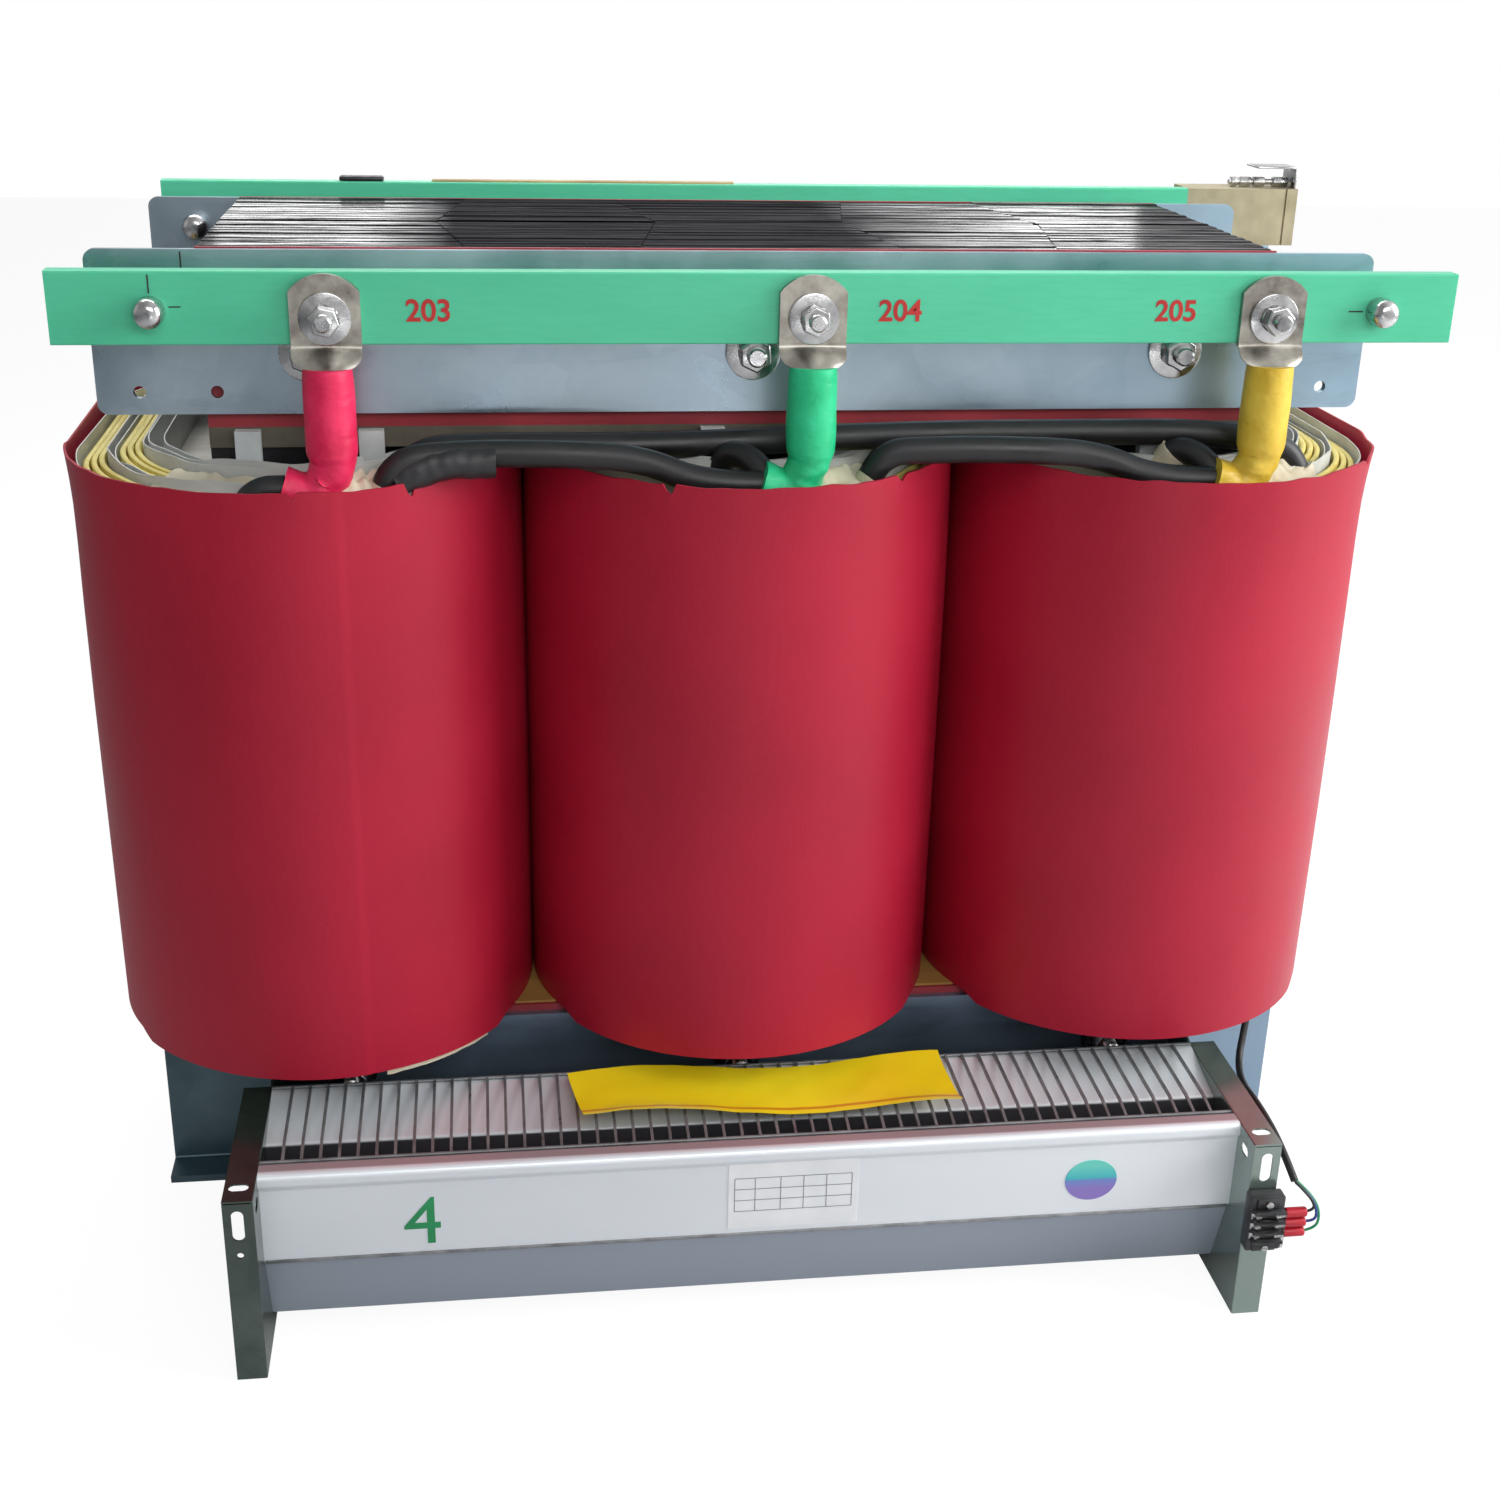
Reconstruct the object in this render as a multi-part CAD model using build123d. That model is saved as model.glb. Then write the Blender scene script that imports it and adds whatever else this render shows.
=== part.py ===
from build123d import *
import os
from math import cos, pi, radians, tan

os.makedirs("parts", exist_ok=True)

# Core: three legs and two yokes, stacked in two packets
leg_pitch = 338.0
leg_width = 114.0
core_depth = 287.0
packet_gap = 1.6
yoke_height = 116.0
window_height = 506.0

# Base rails under the feet
rail_height = 63.0
rail_width = 45.0
rail_sheet = 5.0
rail_spacing = 560.0
rail_overhang = 1.5
floor_hole_dia = 14.0

# Clamps: plain plates above, folded angles below
clamp_overhang = 75.0
clamp_sheet = 6.0
clamp_corner_radius = 8.0
lower_clamp_height = 127.0
foot_width = 28.0
foot_bend_radius = 8.0
yoke_drop = 2.0
yoke_bolt_spacing = 321.0
yoke_bolt_drop = 72.0
yoke_bolt_dia = 14.0
spare_hole_dia = 9.0
spare_hole_rise = 16.0
spare_hole_inset = 30.0
spare_hole_pitch = 54.0

# Insulation between core and clamps, and boards at the coil ends
strip_thick = 3.0
upper_strip_hang = 11.0
strip_proud = 1.0
lower_strip_rise = 8.0
lower_board_thick = 10.0
upper_board_thick = 22.0
board_leg_clearance = 0.5
hanging_strip_height = 15.0

# Coils: flat sides and half-round ends
coil_gap = 4.0
coil_end_build = 96.5
wrap_thick = 2.0
rim_gap = 14.0
layer_thick = 19.0
layer_gap = 2.0
layer_step = 6.0
duct_width = 12.0
winding_leg_clearance = 3.0
winding_leg_radius = 10.0
duct_stick_width = 9.0
duct_stick_pitch = 48.0
coil_top_gap = 38.0
top_block_height = 48.0
top_block_width = 18.0
top_block_depth = 10.0
top_block_pitch = 88.0
top_block_offset = 15.0
block_clearance = 1.0

# Terminal bars and their fixings, each given for the left and the right end
bar_height = 50.0
bar_thick = 15.0
bar_edge_radius = 1.5
bar_standoff = 36.5
front_bar_drop = 7.0
front_fixing_insets = (50.5, 14.5)
front_bar_overhangs = (67.5, 57.5)
front_fixing_drop = 27.0
rear_bar_drop = -9.0
rear_fixing_insets = (38.0, 62.0)
rear_bar_overhangs = (33.0, 33.0)
rear_fixing_drop = 32.0
fixing_dia = 12.0
fixing_spacer_dia = 22.0
fixing_nut_dia = 21.0
fixing_nut_height = 10.0
fixing_dome_height = 8.0
fixing_head_height = 7.5
stud_clearance = 0.6

# Beige block at the end of the rear bar, on a strap
end_block_length = 104.0
end_block_depth = 40.0
end_block_groove_inset = 11.0
end_block_groove = 2.0
strap_thick = 4.0
strap_reach = 46.0
strap_set_in = 22.0

# Lugs and studs
lug_offset = 35.0
lug_width = 48.0
lug_thick = 5.0
lug_crown_radius = 30.0
lug_palm_below = 20.0
lug_neck = 14.0
lug_barrel_dia = 24.0
lug_barrel_length = 40.0
lug_barrel_offset = 10.0
stud_drop = 31.0
stud_dia = 12.0
stud_nut_flats = 19.0
stud_nut_height = 10.0
stud_washer_dia = 26.0
stud_washer_thick = 2.5
stud_tip = 5.0

# Sleeves over the lug barrels
sleeve_dia = 36.0
sleeve_reach = 34.0
sleeve_rise = 8.0
sleeve_straight = 46.0
sleeve_lean_share = 0.3
barrel_clearance = 0.4

# Leads: where they rise from the coils, measured from the coil's rounded end
lead_dia = 20.0
stub_bends = ((14.0, 0.0), (24.0, 5.5), (29.5, 15.5))
delta_landing_left = (66.0, 135.0)
delta_landing_middle = (80.0, 122.0)
long_landing_left = (76.0, 107.0)
long_landing_right = (82.0, 112.0)
delta_run_inset = 9.0
delta_fall_reach = 86.0
delta_flat_reach = 44.0
delta_third_share = 0.34
delta_sway = 2.0
delta_hump = 4.0
long_run_standoff = 18.0
long_shares = (0.56, 0.21, 0.33, 0.77, 1.02)
long_sway = 1.0
long_hump = 2.0
rim_clearance = 4.0
bend_share = 0.45

# Fans, one along each long side
fan_length = 764.0
fan_top = 160.0
fan_front = 353.0
fan_panel_front = 323.5
fan_rear = 197.0
fan_sheet = 1.5
fan_flange = 21.0
fan_fold_radius = 1.2
fan_corner_gap = 1.0
fan_foot_clearance = 3.0
fan_web_top_gap = 6.0
flange_slot_width = 9.0
flange_slot_length = 26.0
flange_slot_drop = 21.5
short_slot_length = 15.0
flange_hole_dia = 5.0
plate_slot_inset = 18.0
plate_slot_drop = 16.0
panel_break = 82.0
panel_step = 4.0
panel_toe_height = 18.0
panel_toe_back = 26.0
panel_bead_depth = 18.0
panel_bead_height = 9.0
panel_bead_proud = 3.5
panel_bead_fall = 4.5
panel_bead_return = 10.0
panel_bead_radius = 4.0
scroll_lip_depth = 65.0
scroll_lip_drop = 12.0
scroll_lip_length = 14.0
scroll_top_width = 9.0
scroll_foot = 20.0
scroll_radius = 3.0

# Cross-flow impeller and motor inside each fan
impeller_dia = 84.0
impeller_axis_y = 252.0
impeller_axis_z = 66.0
impeller_blades = 24
impeller_blade_depth = 13.0
impeller_blade_thick = 1.2
impeller_blade_bow = 3.0
impeller_discs = 6
impeller_disc_thick = 2.0
impeller_end_gap = 8.0
fan_shaft_dia = 10.0
motor_bay = 65.0
motor_dia = 86.0
motor_length = 58.0
motor_edge_radius = 6.0

# Wire guard over each fan, and its terminal block
guard_rod_dia = 3.0
guard_wire_dia = 2.2
guard_pitch = 14.0
guard_front_gap = 3.0
guard_front_drop = 4.0
guard_slope_length = 22.0
guard_bend_radius = 8.0
guard_rear_inset = 5.0
fan_block_width = 29.0
fan_block_height = 50.0
fan_block_depth = 23.0
fan_block_drop = 40.0

overrun = 5.0

# Levels and planes
core_length = 2 * leg_pitch + leg_width
clamp_length = core_length + 2 * clamp_overhang
lower_clamp_top = rail_height + lower_clamp_height
window_bottom = lower_clamp_top - yoke_drop
window_top = window_bottom + window_height
core_bottom = window_bottom - yoke_height
core_top = window_top + yoke_height
upper_bolt_z = core_top - yoke_bolt_drop
lower_bolt_z = core_bottom + yoke_bolt_drop
clamp_inner = core_depth / 2 + strip_thick
clamp_outer = clamp_inner + clamp_sheet
coil_bottom = window_bottom + lower_board_thick
upper_board_bottom = window_top - upper_board_thick
rim_top = upper_board_bottom - rim_gap
inner_winding_top = upper_board_bottom - coil_top_gap
outer_winding_top = inner_winding_top - layer_step
coil_width = leg_pitch - coil_gap
coil_depth = core_depth + 2 * coil_end_build
coil_flat = coil_depth - coil_width
bar_back = clamp_outer + bar_standoff
bar_front = bar_back + bar_thick
sides = (-1, 1)
coils = (-1, 0, 1)
coil_names = ("left", "middle", "right")
side_names = ("front", "rear")
lug_places = [i * leg_pitch + lug_offset for i in coils]
bar_tops = {-1: core_top - front_bar_drop, 1: core_top - rear_bar_drop}


def span(half):
    return (-half, half)


def sided(side, near, far):
    return (near, far) if side > 0 else (-far, -near)


def block(x_span, y_span, z_span):
    spans = (x_span, y_span, z_span)
    sizes = [high - low for low, high in spans]
    centre = [(low + high) / 2 for low, high in spans]
    return Pos(*centre) * Box(*sizes)


def rod_x(dia, x_span, y, z):
    return Pos((x_span[0] + x_span[1]) / 2, y, z) * Rot(0, 90, 0) * Cylinder(dia / 2, x_span[1] - x_span[0])


def rod_y(dia, y_span, x, z):
    return Pos(x, (y_span[0] + y_span[1]) / 2, z) * Rot(90, 0, 0) * Cylinder(dia / 2, y_span[1] - y_span[0])


def rod_z(dia, z_span, x, y):
    return Pos(x, y, (z_span[0] + z_span[1]) / 2) * Cylinder(dia / 2, z_span[1] - z_span[0])


def bent_sheet(points, thick, radius, x_span):
    """Sheet folded along a line of (y, z) points, running along X."""
    face = trace(FilletPolyline(*points, radius=radius), line_width=thick)
    return Pos(x_span[0], 0, 0) * extrude(Plane.YZ * face, x_span[1] - x_span[0])


def route(points):
    """Straight runs joined by tangent arcs, each as large as its runs allow."""
    stops = [Vector(*p) for p in points]
    edges = []
    radii = []
    start = stops[0]
    for before, corner, after in zip(stops, stops[1:], stops[2:]):
        back = (before - corner).normalized()
        ahead = (after - corner).normalized()
        reach = bend_share * min((before - corner).length, (after - corner).length)
        half_turn = pi / 2 - radians(back.get_angle(ahead)) / 2
        radius = reach / tan(half_turn)
        radii.append(round(radius, 1))
        middle = corner + (back + ahead).normalized() * (radius / cos(half_turn) - radius)
        edges.append(Line(start, corner + back * reach))
        edges.append(ThreePointArc(corner + back * reach, middle, corner + ahead * reach))
        start = corner + ahead * reach
    edges.append(Line(start, stops[-1]))
    print("bend radii", radii)
    return Wire([e.edge() for e in edges])


def tube(dia, points):
    path = route(points)
    return sweep(Plane(origin=path @ 0, z_dir=path % 0) * Circle(dia / 2), path=path)


def save(name, *solids):
    shape = solids[0] if len(solids) == 1 else Compound(children=list(solids))
    export_step(shape, f"parts/{name}.step")


# Core
def packets(x_span, z_span):
    return [block(x_span, sided(side, packet_gap / 2, core_depth / 2), z_span) for side in sides]


save("core_upper_yoke", *packets(span(core_length / 2), (window_top, core_top)))
save("core_lower_yoke", *packets(span(core_length / 2), (core_bottom, window_bottom)))
leg_packets = []
for i in coils:
    leg_x = (i * leg_pitch - leg_width / 2, i * leg_pitch + leg_width / 2)
    leg_packets += packets(leg_x, (window_bottom, window_top))
save("core_legs", *leg_packets)


# Clamps
def fixing_places(insets):
    return [-clamp_length / 2 + insets[0], clamp_length / 2 - insets[1]]


fixing_xs = {-1: fixing_places(front_fixing_insets), 1: fixing_places(rear_fixing_insets)}
fixing_zs = {-1: bar_tops[-1] - front_fixing_drop, 1: bar_tops[1] - rear_fixing_drop}


def drilled(plate, side, dia, xs, z):
    y_span = sided(side, clamp_inner - strip_thick - overrun, clamp_outer + overrun)
    for x in xs:
        plate -= rod_y(dia, y_span, x, z)
    return plate


bolt_xs = [i * yoke_bolt_spacing for i in coils]
spare_x = clamp_length / 2 - spare_hole_inset
spare_xs = (-spare_x, -spare_x + spare_hole_pitch, spare_x)


def upper_clamp(side):
    plate = block(span(clamp_length / 2), sided(side, clamp_inner, clamp_outer), (window_top, core_top))
    plate = fillet(plate.edges().filter_by(Axis.Y), clamp_corner_radius)
    plate = drilled(plate, side, yoke_bolt_dia, bolt_xs, upper_bolt_z)
    plate = drilled(plate, side, fixing_dia + stud_clearance, fixing_xs[side], fixing_zs[side])
    return drilled(plate, side, spare_hole_dia, spare_xs, window_top + spare_hole_rise)


def lower_clamp(side):
    web_y = side * (clamp_inner + clamp_sheet / 2)
    foot_z = rail_height + clamp_sheet / 2
    angle = bent_sheet(
        [(web_y, lower_clamp_top), (web_y, foot_z), (side * (clamp_outer + foot_width), foot_z)],
        clamp_sheet, foot_bend_radius - clamp_sheet / 2, span(clamp_length / 2),
    )
    angle = drilled(angle, side, yoke_bolt_dia, bolt_xs, lower_bolt_z)
    foot_span = (rail_height - overrun, rail_height + clamp_sheet + overrun)
    hole_y = side * (clamp_outer + foot_width / 2)
    for s in sides:
        angle -= rod_z(floor_hole_dia, foot_span, s * rail_spacing / 2, hole_y)
    return angle


for side, name in zip(sides, side_names):
    save(f"upper_clamp_{name}", upper_clamp(side))
    save(f"lower_clamp_{name}", lower_clamp(side))

# Insulation strips and end boards
strip_x = span(core_length / 2)
upper_strips = []
lower_strips = []
for side in sides:
    strip_y = sided(side, core_depth / 2, clamp_inner)
    upper = block(strip_x, strip_y, (window_top - upper_strip_hang, core_top + strip_proud))
    lower = block(strip_x, strip_y, (core_bottom, window_bottom + lower_strip_rise))
    upper_strips.append(drilled(upper, side, yoke_bolt_dia, bolt_xs, upper_bolt_z))
    lower_strips.append(drilled(lower, side, yoke_bolt_dia, bolt_xs, lower_bolt_z))
save("upper_yoke_insulation", *upper_strips)
save("lower_yoke_insulation", *lower_strips)


def end_boards(z_span):
    half = leg_width / 2 + board_leg_clearance
    return [
        block((i * leg_pitch + half, (i + 1) * leg_pitch - half), span(core_depth / 2), z_span)
        for i in coils[:-1]
    ]


save("lower_end_board", *end_boards((window_bottom, coil_bottom)))
strip_bottom = window_top - upper_strip_hang
hanging_strips = [
    block(
        strip_x,
        sided(side, core_depth / 2 + board_leg_clearance, clamp_inner),
        (strip_bottom - hanging_strip_height, strip_bottom),
    )
    for side in sides
]
save("upper_end_board", *end_boards((upper_board_bottom, window_top)), *hanging_strips)


# Base rails: channels with the web inboard
def base_rail(side):
    inner = rail_spacing / 2 - rail_width / 2
    outer = rail_spacing / 2 + rail_width / 2
    half_length = clamp_outer + foot_width + rail_overhang
    rail = block(sided(side, inner, outer), span(half_length), (0, rail_height))
    hollow_x = sided(side, inner + rail_sheet, outer + overrun)
    rail -= block(hollow_x, span(half_length + overrun), (rail_sheet, rail_height - rail_sheet))
    for s in sides:
        y = s * (clamp_outer + foot_width / 2)
        rail -= rod_z(floor_hole_dia, (-overrun, rail_height + overrun), side * rail_spacing / 2, y)
    return rail


save("base_rails", *[base_rail(side) for side in sides])


# Coils: two outer layers, a cooling duct, an inner winding, and paper round it all
def stadium(inset):
    return SlotOverall(coil_depth - 2 * inset, coil_width - 2 * inset, rotation=90)


def ring(inset, thick, top):
    face = stadium(inset) - stadium(inset + thick)
    return Pos(0, 0, coil_bottom) * extrude(face, top - coil_bottom)


wrap = ring(0, wrap_thick, rim_top)
second_inset = wrap_thick + layer_thick + layer_gap
duct_inset = second_inset + layer_thick
inner_inset = duct_inset + duct_width
leg_hole = RectangleRounded(
    leg_width + 2 * winding_leg_clearance, core_depth + 2 * winding_leg_clearance, winding_leg_radius
)
inner_face = stadium(inner_inset) - leg_hole
inner_winding = Pos(0, 0, coil_bottom) * extrude(inner_face, inner_winding_top - coil_bottom)
layers = [
    ring(wrap_thick, layer_thick, outer_winding_top),
    ring(second_inset, layer_thick, outer_winding_top),
    inner_winding,
]
stick_mid = coil_width / 2 - duct_inset - duct_width / 2
sticks = []
for side in sides:
    for i in coils:
        y_mid = i * duct_stick_pitch
        sticks.append(block(
            (side * stick_mid - duct_width / 2, side * stick_mid + duct_width / 2),
            (y_mid - duct_stick_width / 2, y_mid + duct_stick_width / 2),
            (coil_bottom, outer_winding_top),
        ))
block_near = core_depth / 2 + winding_leg_clearance + block_clearance
top_blocks = []
for sx in sides:
    block_mid = top_block_offset + sx * top_block_pitch / 2
    for sy in sides:
        top_blocks.append(block(
            (block_mid - top_block_width / 2, block_mid + top_block_width / 2),
            sided(sy, block_near, block_near + top_block_depth),
            (inner_winding_top, inner_winding_top + top_block_height),
        ))
all_sticks = []
all_blocks = []
for i, name in zip(coils, coil_names):
    place = Pos(i * leg_pitch, 0, 0)
    save(f"coil_wrap_{name}", place * wrap)
    save(f"winding_{name}", *[place * layer for layer in layers])
    all_sticks += [place * stick for stick in sticks]
    all_blocks += [place * top_block for top_block in top_blocks]
save("duct_sticks", *all_sticks)
save("coil_top_blocks", *all_blocks)

# Terminal bars
bar_ends = {
    side: (fixing_xs[side][0] - overhangs[0], fixing_xs[side][1] + overhangs[1])
    for side, overhangs in ((-1, front_bar_overhangs), (1, rear_bar_overhangs))
}


def terminal_bar(side):
    z_span = (bar_tops[side] - bar_height, bar_tops[side])
    bar = block(bar_ends[side], sided(side, bar_back, bar_front), z_span)
    bar = fillet(bar.edges().filter_by(Axis.X), bar_edge_radius)
    y_span = sided(side, bar_back - overrun, bar_front + overrun)
    for x in fixing_xs[side]:
        bar -= rod_y(fixing_dia + stud_clearance, y_span, x, fixing_zs[side])
    for x in lug_places:
        bar -= rod_y(stud_dia + stud_clearance, y_span, x, bar_tops[side] - stud_drop)
    return bar


def bar_fixing(x, z, dome_y, head_y, spacer):
    """Bolt along Y with a dome nut at one end, a flat head at the other and a spacer between."""
    way = 1 if dome_y > head_y else -1
    nut_end = dome_y + way * (fixing_nut_height + fixing_dome_height)
    nut = rod_y(fixing_nut_dia, tuple(sorted((dome_y, nut_end))), x, z)
    nut = fillet(nut.edges().sort_by(Axis.Y)[-1 if way > 0 else 0], fixing_dome_height)
    head = rod_y(fixing_nut_dia, tuple(sorted((head_y, head_y - way * fixing_head_height))), x, z)
    shank = rod_y(fixing_dia, tuple(sorted((head_y, dome_y))), x, z)
    return nut + head + shank + rod_y(fixing_spacer_dia, spacer, x, z)


for side, name in zip(sides, side_names):
    save(f"terminal_bar_{name}", terminal_bar(side))
    spacer = sided(side, clamp_outer, bar_back)
    dome_y = -bar_front if side < 0 else clamp_inner
    head_y = -clamp_inner if side < 0 else bar_front
    fixings = [bar_fixing(x, fixing_zs[side], dome_y, head_y, spacer) for x in fixing_xs[side]]
    save(f"bar_fixings_{name}", *fixings)

# Beige block on a strap at the right end of the rear bar
block_start = bar_ends[1][1]
block_x = (block_start, block_start + end_block_length)
bar_bottom = bar_tops[1] - bar_height
end_block = block(block_x, (bar_back, bar_back + end_block_depth), (bar_bottom, bar_tops[1]))
groove_x = block_x[1] - end_block_groove_inset
end_block -= block(
    (groove_x - end_block_groove / 2, groove_x + end_block_groove / 2),
    (bar_back - overrun, bar_back + end_block_groove),
    (bar_bottom - overrun, bar_tops[1] + overrun),
)
save("rear_end_block", end_block)
save("rear_block_strap", block(
    (block_start - strap_reach, block_x[1] - strap_set_in),
    (bar_back, bar_front),
    (bar_bottom - strap_thick, bar_bottom),
))


# Lugs and studs
def lug(side, x):
    bolt_z = bar_tops[side] - stud_drop
    palm_y = side * (bar_front + lug_thick / 2)
    axis_y = side * (bar_front + lug_barrel_offset)
    neck_top = bolt_z - lug_palm_below
    neck_bottom = neck_top - lug_neck
    crown = Circle(lug_crown_radius) + Pos(0, -lug_palm_below / 2) * Rectangle(lug_width, lug_palm_below)
    below = Pos(0, -lug_palm_below - lug_crown_radius) * Rectangle(2 * lug_width, 2 * lug_crown_radius)
    outline = (crown & Rectangle(lug_width, 2 * lug_crown_radius)) - below
    outline -= Circle((stud_dia + stud_clearance) / 2)
    palm = Pos(x, palm_y + lug_thick / 2, bolt_z) * Rot(90, 0, 0) * extrude(outline, lug_thick)
    neck = loft([
        Pos(x, palm_y, neck_top) * Rectangle(lug_width, lug_thick),
        Pos(x, axis_y, neck_bottom) * Circle(lug_barrel_dia / 2),
    ])
    barrel = rod_z(lug_barrel_dia, (neck_bottom - lug_barrel_length, neck_bottom), x, axis_y)
    return palm + neck + barrel


def hex_prism(side, x, near, far, z):
    y_span = sided(side, near, far)
    prism = extrude(RegularPolygon(stud_nut_flats / 2, 6, major_radius=False), y_span[1] - y_span[0])
    return Pos(x, y_span[1], z) * Rot(90, 0, 0) * prism


def terminal_stud(side, x):
    z = bar_tops[side] - stud_drop
    lug_face = bar_front + lug_thick
    nut_base = lug_face + stud_washer_thick
    nut_top = nut_base + stud_nut_height
    stud = rod_y(stud_dia, sided(side, bar_back, nut_top + stud_tip), x, z)
    stud += rod_y(stud_washer_dia, sided(side, lug_face, nut_base), x, z)
    stud += hex_prism(side, x, nut_base, nut_top, z)
    return stud + hex_prism(side, x, bar_back - stud_nut_height, bar_back, z)


for side, name in zip(sides, side_names):
    save(f"lugs_{name}", *[lug(side, x) for x in lug_places])
    save(f"terminal_studs_{name}", *[terminal_stud(side, x) for x in lug_places])


# Sleeves over the lug barrels, bending over above the coil tops
sleeve_y = bar_front + lug_barrel_offset
sleeve_low = outer_winding_top + sleeve_dia / 2 + sleeve_rise


def sleeve(side, x):
    top = bar_tops[side] - stud_drop - lug_palm_below - lug_neck
    y = side * sleeve_y
    knee = top - sleeve_straight
    body = tube(sleeve_dia, [
        (x, y, top),
        (x, y, knee),
        (x - sleeve_reach * sleeve_lean_share, y, sleeve_low),
        (x - sleeve_reach, y, sleeve_low),
    ])
    return body - rod_z(lug_barrel_dia + barrel_clearance, (top - lug_barrel_length, top + overrun), x, y)


for x, name in zip(lug_places, ("red", "green", "yellow")):
    save(f"sleeve_{name}", *[sleeve(side, x) for side in sides])


# Leads between the sleeves and the coil tops
def stub(side, i):
    x = lug_places[i + 1] - sleeve_reach
    y = side * sleeve_y
    return tube(lead_dia, [
        (x, y, sleeve_low),
        *[(x - along, y, sleeve_low - down) for along, down in stub_bends],
        (x - stub_bends[-1][0], y, outer_winding_top),
    ])


save("coil_lead_stubs", stub(-1, -1), *[stub(1, i) for i in coils])
delta_run_y = sleeve_y - delta_run_inset
long_run_y = clamp_outer + long_run_standoff
over_rim = rim_top + lead_dia / 2 + rim_clearance
under_clamp = window_top - lead_dia / 2 - rim_clearance


def landing(i, offset):
    return i * leg_pitch + offset[0], -coil_flat / 2 - offset[1]


def delta_lead(i, offset):
    x, y = landing(i, offset)
    end_x = lug_places[i + 2] - sleeve_reach
    fall_x = end_x - delta_fall_reach
    third = (fall_x - x) * delta_third_share
    return tube(lead_dia, [
        (x, y, outer_winding_top),
        (x, y, over_rim),
        (x + third, -delta_run_y + delta_sway, over_rim + delta_hump),
        (fall_x - third, -delta_run_y - delta_sway, over_rim + delta_hump),
        (fall_x, -delta_run_y, over_rim),
        (end_x - delta_flat_reach, -sleeve_y, sleeve_low),
        (end_x, -sleeve_y, sleeve_low),
    ])


def long_lead():
    x0, y0 = landing(-1, long_landing_left)
    x1, y1 = landing(1, long_landing_right)
    a, b, c, d, e = [leg_pitch * share for share in long_shares]
    return tube(lead_dia, [
        (x0, y0, outer_winding_top),
        (x0, y0, over_rim),
        (-a, -long_run_y, over_rim + long_hump),
        (-b, -long_run_y + long_sway, over_rim),
        (c, -long_run_y, under_clamp),
        (d, -long_run_y + long_sway, under_clamp),
        (e, -long_run_y, under_clamp),
        (x1, y1, over_rim),
        (x1, y1, outer_winding_top),
    ])


save("delta_leads", delta_lead(-1, delta_landing_left), delta_lead(0, delta_landing_middle), long_lead())

# Fans: bent end plates, panel and scroll, impeller, motor and wire guard
half_fan = fan_length / 2
inside = half_fan - fan_sheet
sheet_top = fan_top - fan_sheet / 2


def end_plate(end):
    notch_y = -clamp_outer - foot_width - fan_foot_clearance
    notch_z = rail_height + clamp_sheet + fan_foot_clearance
    profile = Polyline(
        (-fan_front, 0),
        (-fan_front, fan_top),
        (-fan_rear, fan_top),
        (-clamp_outer, lower_clamp_top - fan_web_top_gap),
        (-clamp_outer, notch_z),
        (notch_y, notch_z),
        (notch_y, 0),
        close=True,
    )
    plate = Pos(inside, 0, 0) * extrude(Plane.YZ * make_face(profile), fan_sheet)
    flange_x = (inside, half_fan + fan_flange)
    plate += block(flange_x, (-fan_front, -fan_rear), (fan_top - fan_sheet, fan_top))
    front_flange_top = fan_top - fan_sheet - fan_corner_gap
    plate += block(flange_x, (-fan_front, -fan_front + fan_sheet), (0, front_flange_top))
    plate += block(flange_x, (-fan_front, notch_y), (0, fan_sheet))
    top_fold = plate.edges().filter_by(Axis.Y).group_by(Axis.X)[0].sort_by(Axis.Z)[-1]
    front_fold = plate.edges().filter_by(Axis.Z).group_by(Axis.X)[0].sort_by(Axis.Y)[0]
    plate = fillet([top_fold, front_fold], fan_fold_radius)
    slot_x = half_fan + fan_flange / 2
    slot_y = -fan_front + plate_slot_inset
    long_slot = SlotOverall(flange_slot_length, flange_slot_width)
    short_slot = SlotOverall(short_slot_length, flange_slot_width)
    upright = Plane((slot_x, -fan_front - overrun, fan_top - flange_slot_drop), (0, 0, 1), (0, 1, 0))
    plate -= extrude(upright * long_slot, 2 * overrun)
    plate -= Pos(slot_x, slot_y, fan_top - overrun) * extrude(short_slot, 2 * overrun)
    through = Plane((inside - overrun, slot_y, fan_top - plate_slot_drop), (0, 1, 0), (1, 0, 0))
    plate -= extrude(through * short_slot, 2 * overrun)
    screw_z = fan_top - flange_slot_drop - flange_slot_length
    plate -= rod_y(flange_hole_dia, (-fan_front - overrun, -fan_front + overrun), slot_x, screw_z)
    return plate if end > 0 else mirror(plate, about=Plane.YZ)


panel_y = -fan_panel_front + fan_sheet / 2
panel = bent_sheet([
    (panel_y + panel_bead_depth, sheet_top - panel_bead_return),
    (panel_y + panel_bead_depth, sheet_top),
    (panel_y, sheet_top),
    (panel_y, sheet_top - panel_bead_height),
    (panel_y + panel_bead_proud, sheet_top - panel_bead_height - panel_bead_fall),
    (panel_y + panel_bead_proud, panel_break),
    (panel_y + panel_bead_proud + panel_step, panel_break - panel_step),
    (panel_y + panel_toe_back, panel_toe_height),
], fan_sheet, panel_bead_radius, span(inside))
scroll_y = -fan_rear - fan_sheet / 2
scroll_tip = scroll_y - scroll_lip_depth
scroll = bent_sheet([
    (scroll_y, scroll_foot),
    (scroll_y, sheet_top),
    (scroll_y - scroll_top_width, sheet_top),
    (scroll_tip, sheet_top - scroll_lip_drop),
    (scroll_tip, sheet_top - scroll_lip_drop - scroll_lip_length),
], fan_sheet, scroll_radius, span(inside))

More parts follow.
